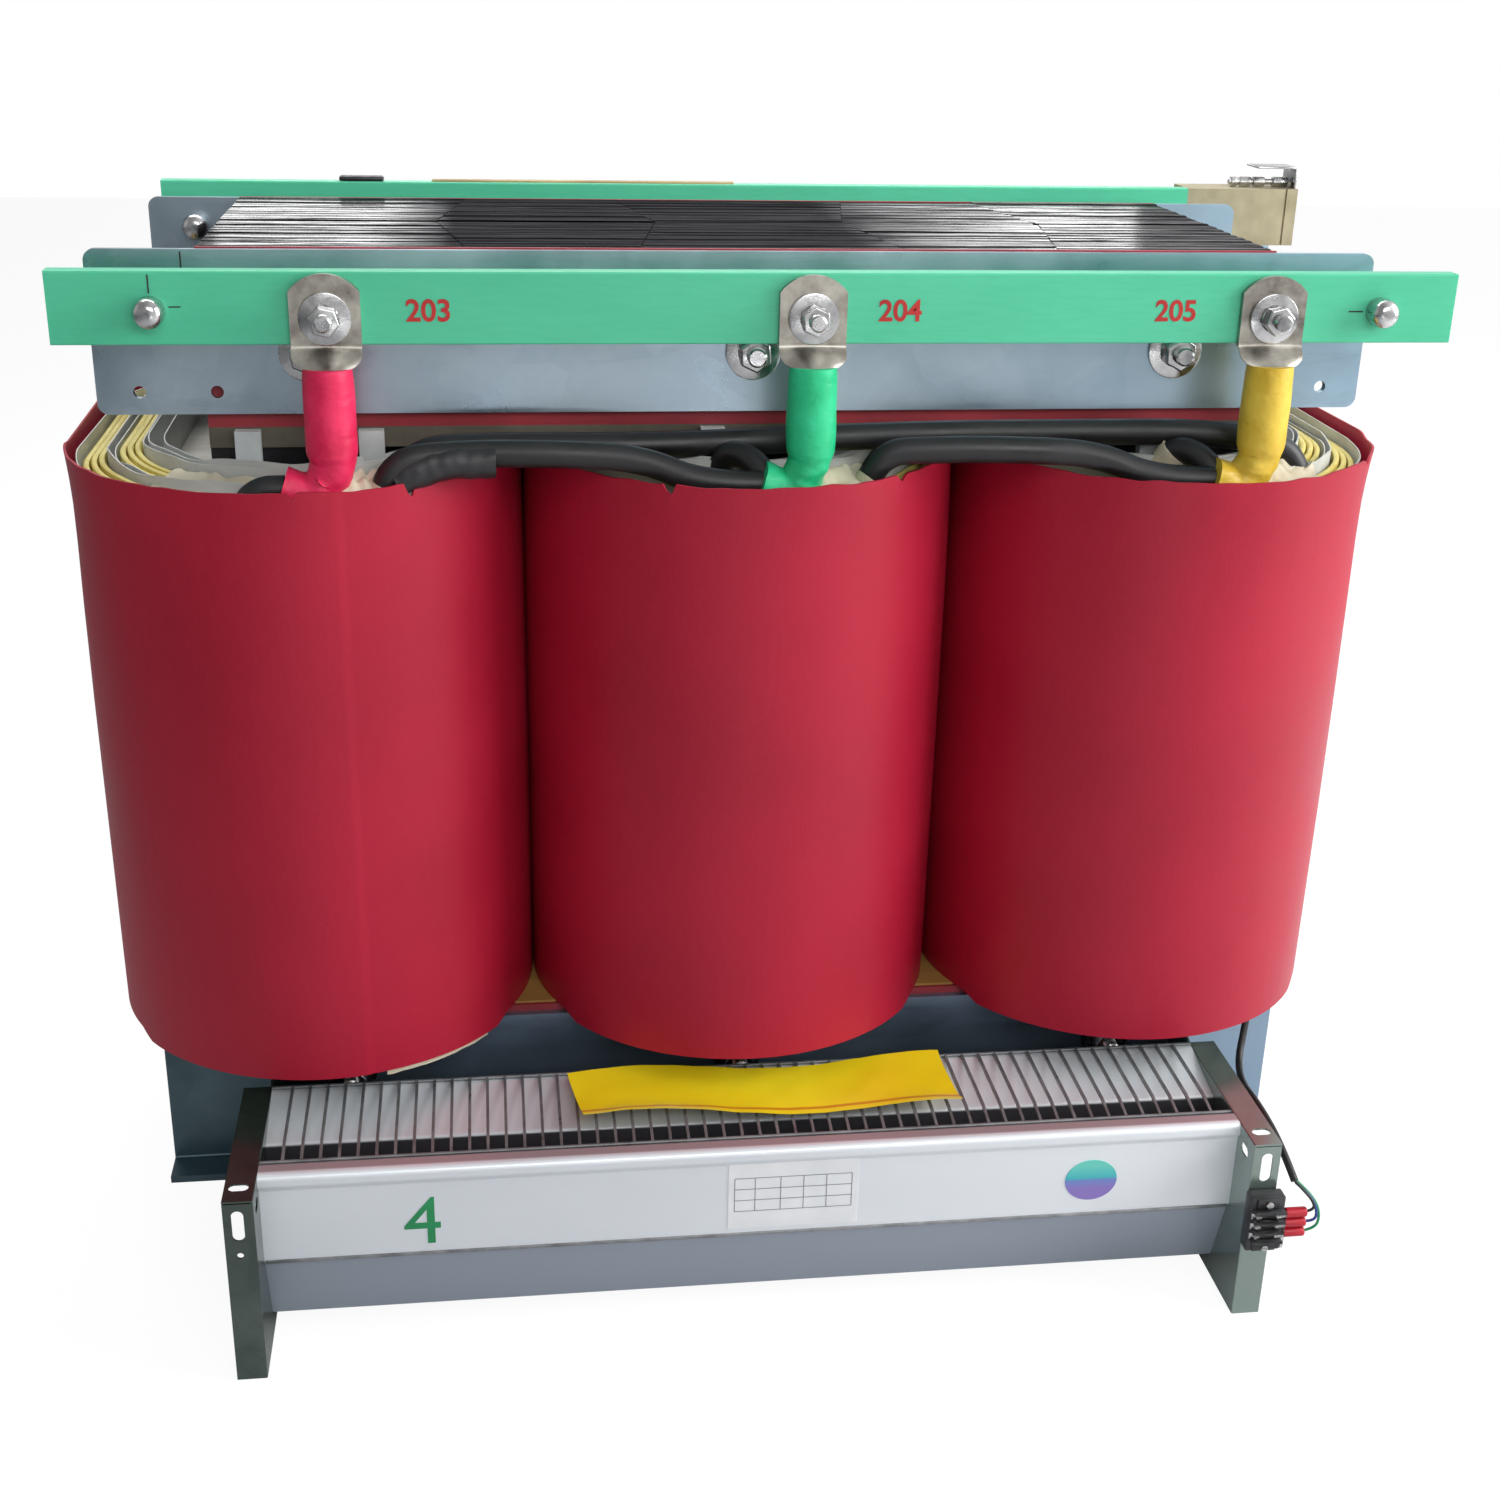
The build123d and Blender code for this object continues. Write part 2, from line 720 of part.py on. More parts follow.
rotor_x = (-inside + impeller_end_gap, half_fan - motor_bay - impeller_end_gap)
disc_step = (rotor_x[1] - rotor_x[0] - impeller_disc_thick) / (impeller_discs - 1)
blade_tip = impeller_dia / 2 - impeller_blade_thick
blade_root = blade_tip - impeller_blade_depth
blade_line = ThreePointArc(
    (blade_root, 0), ((blade_root + blade_tip) / 2, impeller_blade_bow), (blade_tip, 0)
)
blade = trace(blade_line, line_width=impeller_blade_thick)
blades = Sketch() + [Rot(0, 0, 360 * k / impeller_blades) * blade for k in range(impeller_blades)]
drum = rod_x(fan_shaft_dia, (-inside, inside - motor_length), 0, 0)
for k in range(impeller_discs):
    disc_x = rotor_x[0] + k * disc_step
    drum += rod_x(impeller_dia, (disc_x, disc_x + impeller_disc_thick), 0, 0)
drum += Pos(rotor_x[0], 0, 0) * extrude(Plane.YZ * blades, rotor_x[1] - rotor_x[0])
impeller = Pos(0, -impeller_axis_y, impeller_axis_z) * drum
motor = rod_x(motor_dia, (inside - motor_length, inside), -impeller_axis_y, impeller_axis_z)
motor = fillet(motor.edges().group_by(Axis.X)[0], motor_edge_radius)

rear_rod = (-fan_rear - guard_rear_inset, fan_top + guard_rod_dia / 2)
front_rod = (
    -fan_panel_front + panel_bead_depth + fan_sheet + guard_front_gap,
    rear_rod[1] - guard_front_drop,
)
wire_line = FilletPolyline(
    front_rod, (front_rod[0] + guard_slope_length, rear_rod[1]), rear_rod, radius=guard_bend_radius
)
wire = extrude(Plane.YZ * trace(wire_line, line_width=guard_wire_dia), guard_wire_dia)
guard = rod_x(guard_rod_dia, span(inside), *front_rod) + rod_x(guard_rod_dia, span(inside), *rear_rod)
wire_count = int((2 * inside - guard_pitch) / guard_pitch)
first_wire = -(wire_count - 1) * guard_pitch / 2 - guard_wire_dia / 2
guard += [Pos(first_wire + k * guard_pitch, 0, 0) * wire for k in range(wire_count)]

fan_block = block(
    (half_fan + fan_flange / 2 - fan_block_width / 2, half_fan + fan_flange / 2 + fan_block_width / 2),
    (-fan_front - fan_block_depth, -fan_front),
    (fan_top - fan_block_drop - fan_block_height, fan_top - fan_block_drop),
)
for turn, name in zip((0, 180), side_names):
    place = Rot(0, 0, turn)
    save(f"fan_{name}_housing", place * panel, place * scroll)
    save(f"fan_{name}_end_plates", *[place * end_plate(end) for end in sides])
    save(f"fan_{name}_guard", place * guard)
    save(f"fan_{name}_impeller", place * impeller)
    save(f"fan_{name}_motor", place * motor)
    save(f"fan_{name}_terminal_block", place * fan_block)
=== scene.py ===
import bpy
import bmesh
import random
from math import cos, pi, radians, sin
from mathutils import Matrix, Vector, noise


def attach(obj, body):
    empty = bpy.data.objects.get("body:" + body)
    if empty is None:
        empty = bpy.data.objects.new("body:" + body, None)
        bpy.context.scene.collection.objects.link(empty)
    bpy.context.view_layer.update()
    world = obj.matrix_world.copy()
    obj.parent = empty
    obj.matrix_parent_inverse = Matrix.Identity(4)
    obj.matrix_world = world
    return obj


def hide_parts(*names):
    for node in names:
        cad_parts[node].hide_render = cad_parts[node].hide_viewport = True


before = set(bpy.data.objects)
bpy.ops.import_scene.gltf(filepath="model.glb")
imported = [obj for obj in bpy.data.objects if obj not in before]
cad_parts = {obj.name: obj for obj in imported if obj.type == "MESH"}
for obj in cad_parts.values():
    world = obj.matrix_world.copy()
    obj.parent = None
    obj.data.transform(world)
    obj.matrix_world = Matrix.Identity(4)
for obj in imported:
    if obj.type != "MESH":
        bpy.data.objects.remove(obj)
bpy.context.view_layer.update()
random.seed(7)

COILS = {"left": -0.338, "middle": 0.0, "right": 0.338}
LUG_X = (-0.303, 0.035, 0.373)
COIL_RADIUS = 0.167
COIL_FLAT = 0.146
COIL_BOTTOM = 0.198
WINDING_TOP = 0.628
RIM = 0.658
BAR_FACE = -0.204
LUG_FACE = -0.209
STUD_HEIGHT = 0.772
REAR_RISE = 0.016
SLEEVE_DEPTH = 0.214
CORE_TOP = 0.8098
GUARD_TOP = 0.1652
REAR_BAR_TOP = 0.8185


# Finishes

def tint(red, green, blue):
    """Linear colour from the 0 to 255 values of a swatch."""
    def linear(v):
        v /= 255
        return v / 12.92 if v <= 0.04045 else ((v + 0.055) / 1.055) ** 2.4
    return (linear(red), linear(green), linear(blue), 1.0)


def grey(value):
    return (value, value, value, 1.0)


BLACK, WHITE = grey(0.0), grey(1.0)


class Finish:
    """A material with its shader and a short way to add nodes to it."""

    def __init__(self, name, metal=0.0, rough=0.5, **sockets):
        self.made = bpy.data.materials.new(name)
        self.made.use_nodes = True
        self.tree = self.made.node_tree
        self.shader = self.tree.nodes["Principled BSDF"]
        self.shader.inputs["Metallic"].default_value = metal
        self.shader.inputs["Roughness"].default_value = rough
        for socket, value in sockets.items():
            self.shader.inputs[socket.replace("_", " ")].default_value = value
        self.place = self.node("ShaderNodeTexCoord").outputs["Object"]
        self.height = None

    def node(self, kind, **settings):
        new = self.tree.nodes.new(kind)
        for key, value in settings.items():
            setattr(new, key, value)
        return new

    def link(self, out, into):
        self.tree.links.new(out, into)

    def stretched(self, scale):
        mapping = self.node("ShaderNodeMapping")
        mapping.inputs["Scale"].default_value = scale
        self.link(self.place, mapping.inputs["Vector"])
        return mapping.outputs["Vector"]

    def cloud(self, scale, detail=3.0, roughness=0.5, distortion=0.0, stretch=None):
        new = self.node("ShaderNodeTexNoise")
        new.inputs["Scale"].default_value = scale
        new.inputs["Detail"].default_value = detail
        new.inputs["Roughness"].default_value = roughness
        new.inputs["Distortion"].default_value = distortion
        self.link(self.stretched(stretch) if stretch else self.place, new.inputs["Vector"])
        return new.outputs["Fac"]

    def cells(self, scale):
        new = self.node("ShaderNodeTexVoronoi")
        new.inputs["Scale"].default_value = scale
        self.link(self.place, new.inputs["Vector"])
        return new

    def ramp(self, fac, *stops):
        new = self.node("ShaderNodeValToRGB")
        edge = new.color_ramp.elements
        while len(edge) < len(stops):
            edge.new(0.5)
        for element, (position, colour) in zip(edge, stops):
            element.position = position
            element.color = colour
        self.link(fac, new.inputs["Fac"])
        return new.outputs["Color"]

    def span(self, fac, low, high, start=0.0, end=1.0):
        new = self.node("ShaderNodeMapRange")
        for socket, value in (("From Min", start), ("From Max", end), ("To Min", low), ("To Max", high)):
            new.inputs[socket].default_value = value
        self.link(fac, new.inputs["Value"])
        return new.outputs["Result"]

    def blend(self, fac, below, above, kind="MIX"):
        new = self.node("ShaderNodeMix", data_type="RGBA", blend_type=kind)
        self.link(fac, new.inputs[0])
        for value, socket in ((below, new.inputs[6]), (above, new.inputs[7])):
            if isinstance(value, tuple):
                socket.default_value = value
            else:
                self.link(value, socket)
        return new.outputs[2]

    def along(self, axis):
        split = self.node("ShaderNodeSeparateXYZ")
        self.link(self.place, split.inputs[0])
        return split.outputs[axis]

    def off_centre(self):
        """Distance from the middle plane, the same at the front and the rear."""
        new = self.node("ShaderNodeMath", operation="ABSOLUTE")
        self.link(self.along("Y"), new.inputs[0])
        return new.outputs[0]

    def colour(self, out):
        self.link(out, self.shader.inputs["Base Color"])

    def gloss(self, fac, low, high):
        self.link(self.span(fac, low, high, 0.3, 0.7), self.shader.inputs["Roughness"])

    def relief(self, fac, depth, strength=1.0):
        new = self.node("ShaderNodeBump")
        new.inputs["Strength"].default_value = strength
        new.inputs["Distance"].default_value = depth
        self.link(fac, new.inputs["Height"])
        if self.height:
            self.link(self.height, new.inputs["Normal"])
        self.height = new.outputs["Normal"]
        self.link(self.height, self.shader.inputs["Normal"])


def red_paper():
    f = Finish("red_wrap_paper", rough=0.45, Specular_IOR_Level=0.3)
    patches = f.cloud(6, 4, 0.5)
    base = f.ramp(patches, (0.3, tint(160, 18, 44)), (0.7, tint(176, 24, 52)))
    fibres = f.cloud(520, 2, 0.6, stretch=(1, 1, 0.35))
    base = f.blend(f.span(fibres, 0, 0.12, 0.45, 0.8), base, tint(196, 48, 76))
    scuffs = f.cloud(30, 6, 0.7, 1.2)
    f.colour(f.blend(f.span(scuffs, 0, 0.2, 0.68, 0.8), base, tint(206, 80, 102)))
    f.gloss(patches, 0.38, 0.5)
    f.relief(f.cloud(11, 3, 0.5, stretch=(1, 1, 0.25)), 0.004, 0.3)
    f.relief(fibres, 0.0003, 0.3)
    return f.made


def green_laminate():
    f = Finish("green_bar_laminate", rough=0.42, Subsurface_Weight=0.12, Subsurface_Scale=0.01)
    f.shader.inputs["Subsurface Radius"].default_value = (0.4, 1.0, 0.7)
    patches = f.cloud(6, 4, 0.6, stretch=(0.3, 1, 1))
    base = f.ramp(patches, (0.3, tint(74, 190, 148)), (0.7, tint(92, 208, 166)))
    weave = f.cloud(300, 2, 0.5, stretch=(0.15, 1, 1))
    base = f.blend(f.span(weave, 0, 0.25, 0.4, 0.75), base, tint(64, 182, 134))
    specks = f.cells(160).outputs["Distance"]
    f.colour(f.blend(f.span(specks, 0.3, 0, 0.0, 0.06), base, tint(190, 232, 208)))
    f.gloss(patches, 0.34, 0.5)
    f.relief(weave, 0.0003, 0.3)
    return f.made


def zinc_plate(name, light, dark, right, start=(0.1, 0.46), rough=(0.24, 0.44)):
    f = Finish(name, metal=0.85)
    spangle = f.cells(26).outputs["Color"]
    clouds = f.cloud(7, 5, 0.6, 0.4)
    base = f.ramp(clouds, (0.32, tint(*dark)), (0.68, tint(*light)))
    # Painted light: the plate turns lighter towards +X, up to 0.8 of the tint given as right, between the X
    # values given as start, for light falling from the right.
    base = f.blend(f.span(f.along("X"), 0, 0.8, *start), base, tint(*right))
    base = f.blend(f.span(spangle, 0, 0.18), base, tint(*[v + 24 for v in light]))
    smears = f.cloud(18, 6, 0.65, 1.5, stretch=(0.3, 1, 1))
    f.colour(f.blend(f.span(smears, 0, 0.4, 0.58, 0.75), base, tint(*[v - 30 for v in dark])))
    f.gloss(clouds, *rough)
    f.relief(f.cloud(240, 2, stretch=(0.08, 1, 1)), 0.0003, 0.25)
    return f.made


def core_lacquer():
    f = Finish("black_core_lacquer", rough=0.3, Specular_IOR_Level=0.0, Coat_Roughness=0.14)
    sheets = f.cloud(1, 2, 0.5, stretch=(1.2, 900, 1.2))
    streaks = f.cloud(1, 5, 0.65, stretch=(7, 300, 7))
    base = f.ramp(streaks, (0.36, tint(22, 22, 24)), (0.74, tint(62, 61, 65)))
    base = f.blend(f.span(sheets, 0, 0.5, 0.56, 0.76), base, tint(100, 99, 104))
    scrapes = f.cloud(1, 5, 0.7, 0.6, stretch=(9, 90, 9))
    base = f.blend(f.span(scrapes, 0, 0.6, 0.68, 0.8), base, tint(130, 130, 134))
    groove = f.span(f.off_centre(), 1, 0, 0.0026, 0.0036)
    f.colour(f.blend(groove, base, tint(6, 6, 7)))
    f.gloss(streaks, 0.3, 0.5)
    wet = f.ramp(f.span(f.along("X"), 0, 1, -0.42, 0.42), (0.0, grey(0.7)), (0.17, grey(0.7)),
                 (0.24, grey(0.02)), (0.6, grey(0.03)), (0.8, grey(0.75)), (1.0, grey(0.5)))
    strips = f.ramp(f.cloud(1, 5, 0.7, 0.4, stretch=(10, 240, 10)), (0.42, grey(0.04)), (0.56, WHITE))
    wet = f.blend(f.span(sheets, 1, 1), wet, strips, "MULTIPLY")
    f.link(f.blend(groove, wet, BLACK), f.shader.inputs["Coat Weight"])
    f.relief(sheets, 0.0012, 0.5)
    f.relief(f.cloud(22, 4, stretch=(0.5, 3, 1)), 0.002, 0.4)
    return f.made


def board(name, light, dark, rough=0.75):
    f = Finish(name, rough=rough)
    clouds = f.cloud(12, 5, 0.6)
    grain = f.cloud(90, 3, 0.6, stretch=(0.2, 1, 1))
    base = f.ramp(clouds, (0.3, tint(*dark)), (0.7, tint(*light)))
    f.colour(f.blend(f.span(grain, 0, 0.35, 0.4, 0.7), base, tint(*dark)))
    f.relief(grain, 0.0006, 0.5)
    return f.made


def plated(name, light, dark, rough=(0.12, 0.34), metal=1.0):
    f = Finish(name, metal=metal)
    clouds = f.cloud(60, 4, 0.6)
    f.colour(f.ramp(clouds, (0.3, tint(*dark)), (0.7, tint(*light))))
    f.gloss(clouds, *rough)
    f.relief(f.cloud(700, 2), 0.0002, 0.3)
    return f.made


def shrink_sleeve(name, light, dark):
    f = Finish(name, rough=0.42, Specular_IOR_Level=0.4)
    clouds = f.cloud(40, 4, 0.55)
    base = f.ramp(clouds, (0.3, tint(*dark)), (0.7, tint(*light)))
    grime = f.cloud(70, 6, 0.7, 1.0)
    f.colour(f.blend(f.span(grime, 0, 0.35, 0.62, 0.8), base, tint(*[v // 2 for v in dark])))
    f.gloss(clouds, 0.32, 0.55)
    f.relief(f.cloud(55, 3, 0.5, 0.6, stretch=(1, 1, 2.2)), 0.0022, 0.5)
    return f.made


def black_lead():
    f = Finish("black_lead", rough=0.55)
    clouds = f.cloud(30, 4)
    base = f.ramp(clouds, (0.3, tint(17, 17, 19)), (0.75, tint(34, 34, 37)))
    dust = f.cloud(90, 6, 0.75)
    f.colour(f.blend(f.span(dust, 0, 0.3, 0.6, 0.85), base, tint(80, 80, 83)))
    f.gloss(clouds, 0.34, 0.54)
    f.relief(f.cloud(240, 2), 0.0003, 0.4)
    return f.made


def moulded(name, light, dark, rough=0.5):
    f = Finish(name, rough=rough)
    clouds = f.cloud(35, 4)
    f.colour(f.ramp(clouds, (0.3, tint(*dark)), (0.7, tint(*light))))
    f.gloss(clouds, rough - 0.08, rough + 0.08)
    f.relief(f.cloud(900, 2), 0.0002, 0.4)
    return f.made


def fan_paint():
    f = Finish("pale_fan_sheet", metal=0.25)
    clouds = f.cloud(5, 4, 0.5, stretch=(0.4, 1, 1))
    base = f.ramp(clouds, (0.3, tint(222, 228, 234)), (0.7, tint(238, 243, 247)))
    marks = f.cloud(26, 7, 0.75, 1.4)
    base = f.blend(f.span(marks, 0, 0.3, 0.68, 0.82), base, tint(138, 142, 148))
    # Painted shade: below z 0.08 the panel's lower part, which faces down, is painted darker.
    base = f.blend(f.span(f.along("Z"), 1, 0, 0.0795, 0.0815), base, tint(158, 167, 180))
    depth = f.off_centre()
    # Painted reflection: the strip along the top of the panel's front, at |y| 0.305 to 0.317 above z 0.14,
    # is painted pinkish for the red coils reflected in it.
    coil_reflection = f.ramp(f.span(depth, 0, 1, 0.3, 0.32), (0.2, BLACK), (0.25, WHITE), (0.8, WHITE), (0.9, BLACK))
    coil_reflection = f.blend(f.span(f.along("Z"), 1, 0, 0.13, 0.14), coil_reflection, BLACK)
    base = f.blend(coil_reflection, base, tint(168, 150, 154))
    # Painted shade: inside the housing, at |y| under 0.305 and z from about 0.086 to 0.146, the sheet is
    # painted dark for the shade in the air slot.
    slot = f.node("ShaderNodeMath", operation="MULTIPLY")
    f.link(f.span(depth, 1, 0, 0.3045, 0.3055), slot.inputs[0])
    f.link(f.ramp(f.span(f.along("Z"), 0, 1, 0.08, 0.16), (0.06, BLACK), (0.08, WHITE), (0.83, WHITE),
                  (0.85, BLACK)), slot.inputs[1])
    f.colour(f.blend(slot.outputs[0], base, tint(70, 69, 73)))
    f.gloss(clouds, 0.28, 0.42)
    f.relief(f.cloud(1, 2, stretch=(4, 400, 400)), 0.0003, 0.25)
    return f.made


PAPER = red_paper()
LAMINATE = green_laminate()
# Clamps' zinc: from x 0.1 to 0.46 its right part is painted lighter, as painted light from the right.
ZINC = zinc_plate("zinc_plate", (172, 187, 198), (136, 152, 165), (164, 194, 214))
# Painted shade: a darker teal copy of the zinc for the lower clamps and rails, which sit in shade under the
# coils. Past its left end it turns lighter towards the third tint, as painted light from the right.
SHADED_TEAL_ZINC = zinc_plate("shaded_teal_zinc_plate", (92, 112, 120), (58, 76, 84), (158, 182, 206), (-0.36, -0.30))
# Painted shade: a darker copy of the zinc for the fan's end plates, whose fronts stand in shade. From x 0.2
# to 0.38 it turns lighter, as painted light on the right end.
SHADED_GALVANISED = zinc_plate("shaded_galvanised_fan_plate", (100, 112, 106), (70, 82, 76), (158, 174, 168),
                        (0.2, 0.38), (0.16, 0.3))
LACQUER = core_lacquer()
RED_SHEET = board("red_strip", (172, 52, 62), (128, 34, 44), 0.6)
PRESSBOARD = board("tan_pressboard", (186, 148, 78), (146, 112, 54))
END_BOARD = board("grey_end_board", (112, 106, 92), (76, 70, 60))
FOIL = board("winding_foil", (206, 204, 194), (160, 156, 144), 0.6)
STICK = board("duct_stick", (206, 186, 140), (160, 136, 92))
CREAM = moulded("cream_block", (214, 220, 220), (184, 190, 190), 0.4)
BRIGHT = plated("bright_plating", (212, 212, 212), (160, 160, 162))
TINNED = plated("tinned_lug", (190, 186, 176), (138, 132, 124), (0.26, 0.46))
SLEEVES = {
    "red": shrink_sleeve("pink_red_sleeve", (238, 46, 98), (208, 26, 72)),
    "green": shrink_sleeve("green_sleeve", (48, 206, 146), (28, 180, 118)),
    "yellow": shrink_sleeve("yellow_sleeve", (230, 198, 74), (204, 168, 46)),
}
LEAD = black_lead()
FAN_SHEET = fan_paint()
GUARD = plated("guard_wire", (136, 138, 140), (100, 102, 104), (0.25, 0.5), 0.45)
BLADES = plated("dull_blades", (176, 178, 180), (130, 132, 135), (0.3, 0.5))
MOTOR = moulded("dark_motor", (52, 52, 55), (30, 30, 32), 0.45)
GREY_BLOCK = moulded("grey_block", (92, 94, 96), (56, 58, 60), 0.45)
BEIGE = moulded("beige_block", (182, 172, 142), (150, 140, 110), 0.55)

CAD_FINISH = {
    "core_": LACQUER, "upper_clamp": ZINC, "lower_clamp": SHADED_TEAL_ZINC, "base_rails": SHADED_TEAL_ZINC,
    "rear_block_strap": ZINC, "upper_yoke": RED_SHEET, "lower_yoke": RED_SHEET,
    "lower_end_board": PRESSBOARD, "upper_end_board": END_BOARD,
    "coil_wrap": PAPER, "winding": FOIL, "duct_sticks": STICK, "coil_top_blocks": CREAM,
    "terminal_bar": LAMINATE, "bar_fixings": BRIGHT, "lugs": TINNED, "terminal_studs": BRIGHT,
    "sleeve_red": SLEEVES["red"], "sleeve_green": SLEEVES["green"], "sleeve_yellow": SLEEVES["yellow"],
    "coil_lead": LEAD, "delta": LEAD, "rear_end_block": BEIGE,
    "fan_front_housing": FAN_SHEET, "fan_rear_housing": FAN_SHEET,
}
FAN_FINISH = {
    "end_plates": SHADED_GALVANISED, "guard": GUARD, "impeller": BLADES, "motor": MOTOR,
    "terminal_block": GREY_BLOCK,
}
for node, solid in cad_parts.items():
    chosen = [made for start, made in CAD_FINISH.items() if node.startswith(start)]
    chosen += [made for end, made in FAN_FINISH.items()
               if node.startswith("fan_") and node.endswith(end)]
    solid.data.materials.clear()
    solid.data.materials.append(chosen[0])


# Camera, floor and light

def studio():
    yaw, pitch, roll = 0.1370, 0.3874, 0.0239
    ahead = Vector((sin(yaw) * cos(pitch), cos(yaw) * cos(pitch), -sin(pitch)))
    right = Vector((cos(yaw), -sin(yaw), 0))
    up = right.cross(ahead)
    level_right = right * cos(roll) + up * sin(roll)
    level_up = up * cos(roll) - right * sin(roll)
    turn = Matrix((level_right, level_up, -ahead)).transposed().to_4x4()
    bpy.ops.object.camera_add()
    camera = bpy.context.object
    camera.matrix_world = Matrix.Translation((-0.19363, -1.59222, 1.01439)) @ turn
    camera.data.lens = 47.32
    camera.data.sensor_width = 36
    camera.data.clip_start = 0.05
    bpy.context.scene.camera = camera

    bpy.ops.mesh.primitive_plane_add(size=14)
    floor = bpy.context.object
    floor.name = "floor"
    f = Finish("pale_floor", rough=0.8, Specular_IOR_Level=0.1)
    # Painted shade: the floor's own colour darkens towards -X, from 0.82 to 0.28 grey, so less light is
    # bounced and reflected from it onto the object's left side.
    f.colour(f.ramp(f.span(f.along("X"), 0, 1, -1.8, 1.4), (0.0, (0.28, 0.29, 0.3, 1)),
                    (0.8, grey(0.82))))
    glow = f.node("ShaderNodeEmission")
    glow.inputs["Color"].default_value = WHITE
    glow.inputs["Strength"].default_value = 1.16
    ray = f.node("ShaderNodeLightPath")
    share = f.span(ray.outputs["Is Camera Ray"], 0.0, 0.8)
    mix = f.node("ShaderNodeMixShader")
    f.link(share, mix.inputs[0])
    f.link(f.shader.outputs[0], mix.inputs[1])
    f.link(glow.outputs[0], mix.inputs[2])
    f.link(mix.outputs[0], f.tree.nodes["Material Output"].inputs["Surface"])
    floor.data.materials.append(f.made)

    def lamp(name, place, aim, size, power):
        bpy.ops.object.light_add(type="AREA", location=place)
        light = bpy.context.object
        light.name = name
        light.data.shape = "RECTANGLE"
        light.data.size, light.data.size_y = size
        light.data.energy = power
        light.rotation_euler = (Vector(aim) - Vector(place)).to_track_quat("-Z", "Y").to_euler()
        return light

    lamp("front_soft", (0.5, -3.2, 2.4), (0, 0, 0.45), (2.2, 1.6), 40)
    lamp("right_soft", (2.6, -0.9, 1.6), (0.1, 0, 0.4), (1.6, 2.0), 86)
    lamp("left_soft", (-2.8, -0.4, 1.8), (-0.1, 0, 0.4), (1.4, 1.8), 2)
    lamp("back_top", (-0.3, 1.6, 3.0), (0, 0, 0.8), (2.6, 1.2), 70)
    for light in (lamp("back_window", (0.25, 3.0, 1.24), (0, 0, 0.81), (2.1, 0.3), 9),
                  lamp("low_front", (0.1, -2.6, 0.17), (0, 0, 0.72), (0.8, 0.12), 1.6)):
        light.visible_diffuse = False
    world = bpy.data.worlds.new("pale_room")
    bpy.context.scene.world = world
    world.use_nodes = True
    tree = world.node_tree
    link = tree.links.new
    room = tree.nodes["Background"]
    room.inputs["Color"].default_value = (0.95, 0.97, 1.0, 1)
    room.inputs["Strength"].default_value = 0.28
    mirrored = tree.nodes.new("ShaderNodeBackground")
    aim = tree.nodes.new("ShaderNodeTexCoord")
    split = tree.nodes.new("ShaderNodeSeparateXYZ")
    link(aim.outputs["Generated"], split.inputs[0])
    side = tree.nodes.new("ShaderNodeMapRange")
    for socket, value in (("From Min", -0.3), ("From Max", 0.4), ("To Min", 0.45), ("To Max", 1.1)):
        side.inputs[socket].default_value = value
    link(split.outputs["X"], side.inputs["Value"])
    link(side.outputs["Result"], mirrored.inputs["Strength"])
    backdrop = tree.nodes.new("ShaderNodeBackground")
    backdrop.inputs["Color"].default_value = WHITE
    backdrop.inputs["Strength"].default_value = 1.0
    ray = tree.nodes.new("ShaderNodeLightPath")
    seen = tree.nodes.new("ShaderNodeMath")
    seen.operation = "MAXIMUM"
    link(ray.outputs["Is Camera Ray"], seen.inputs[0])
    link(ray.outputs["Is Transmission Ray"], seen.inputs[1])
    lit = room.outputs[0]
    for share, above in ((ray.outputs["Is Glossy Ray"], mirrored), (seen.outputs[0], backdrop)):
        mix = tree.nodes.new("ShaderNodeMixShader")
        link(share, mix.inputs[0])
        link(lit, mix.inputs[1])
        link(above.outputs[0], mix.inputs[2])
        lit = mix.outputs[0]
    link(lit, tree.nodes["World Output"].inputs["Surface"])
    bpy.context.scene.view_settings.view_transform = "Standard"


studio()


# Modelling by hand

def deselect():
    bpy.ops.object.select_all(action="DESELECT")


def take(*pieces):
    deselect()
    for piece in pieces:
        piece.select_set(True)
    bpy.context.view_layer.objects.active = pieces[0]


def begin(add, name, **where):
    """Adds a primitive at its place, with the place in its mesh."""
    deselect()
    add(**where)
    piece = bpy.context.object
    piece.name = piece.data.name = name
    bpy.ops.object.transform_apply(location=True, rotation=True, scale=True)
    return piece


def shape(piece, kind, chosen, *work):
    """In edit mode, selects the chosen verts, edges or faces and runs each step on them."""
    take(piece)
    bpy.ops.object.mode_set(mode="EDIT")
    bpy.ops.mesh.select_mode(type={"verts": "VERT", "edges": "EDGE", "faces": "FACE"}[kind])
    bpy.ops.mesh.select_all(action="DESELECT")
    mesh = bmesh.from_edit_mesh(piece.data)
    for part in getattr(mesh, kind):
        if chosen(part):
            part.select_set(True)
    mesh.select_flush_mode()
    bmesh.update_edit_mesh(piece.data)
    for step in work:
        step()
    bpy.ops.object.mode_set(mode="OBJECT")


def everything(part):
    return True


def slide(x=0, y=0, z=0):
    return lambda: bpy.ops.transform.translate(value=(x, y, z))


def grow(x=1, y=1, z=1, centre=(0, 0, 0)):
    return lambda: bpy.ops.transform.resize(value=(x, y, z), center_override=centre)


def pull(x=0, y=0, z=0):
    return lambda: bpy.ops.mesh.extrude_region_move(TRANSFORM_OT_translate={"value": (x, y, z)})


def inset(by):
    return lambda: bpy.ops.mesh.inset(thickness=by)


def round_off(by, steps=2):
    return lambda: bpy.ops.mesh.bevel(offset=by, segments=steps, affect="EDGES")


def outward():
    bpy.ops.mesh.normals_make_consistent(inside=False)


def facing(x=0, y=0, z=0):
    aim = Vector((x, y, z))
    return lambda face: face.normal.dot(aim) > 0.9


def sharp(edge):
    return edge.calc_face_angle(0) > 0.5


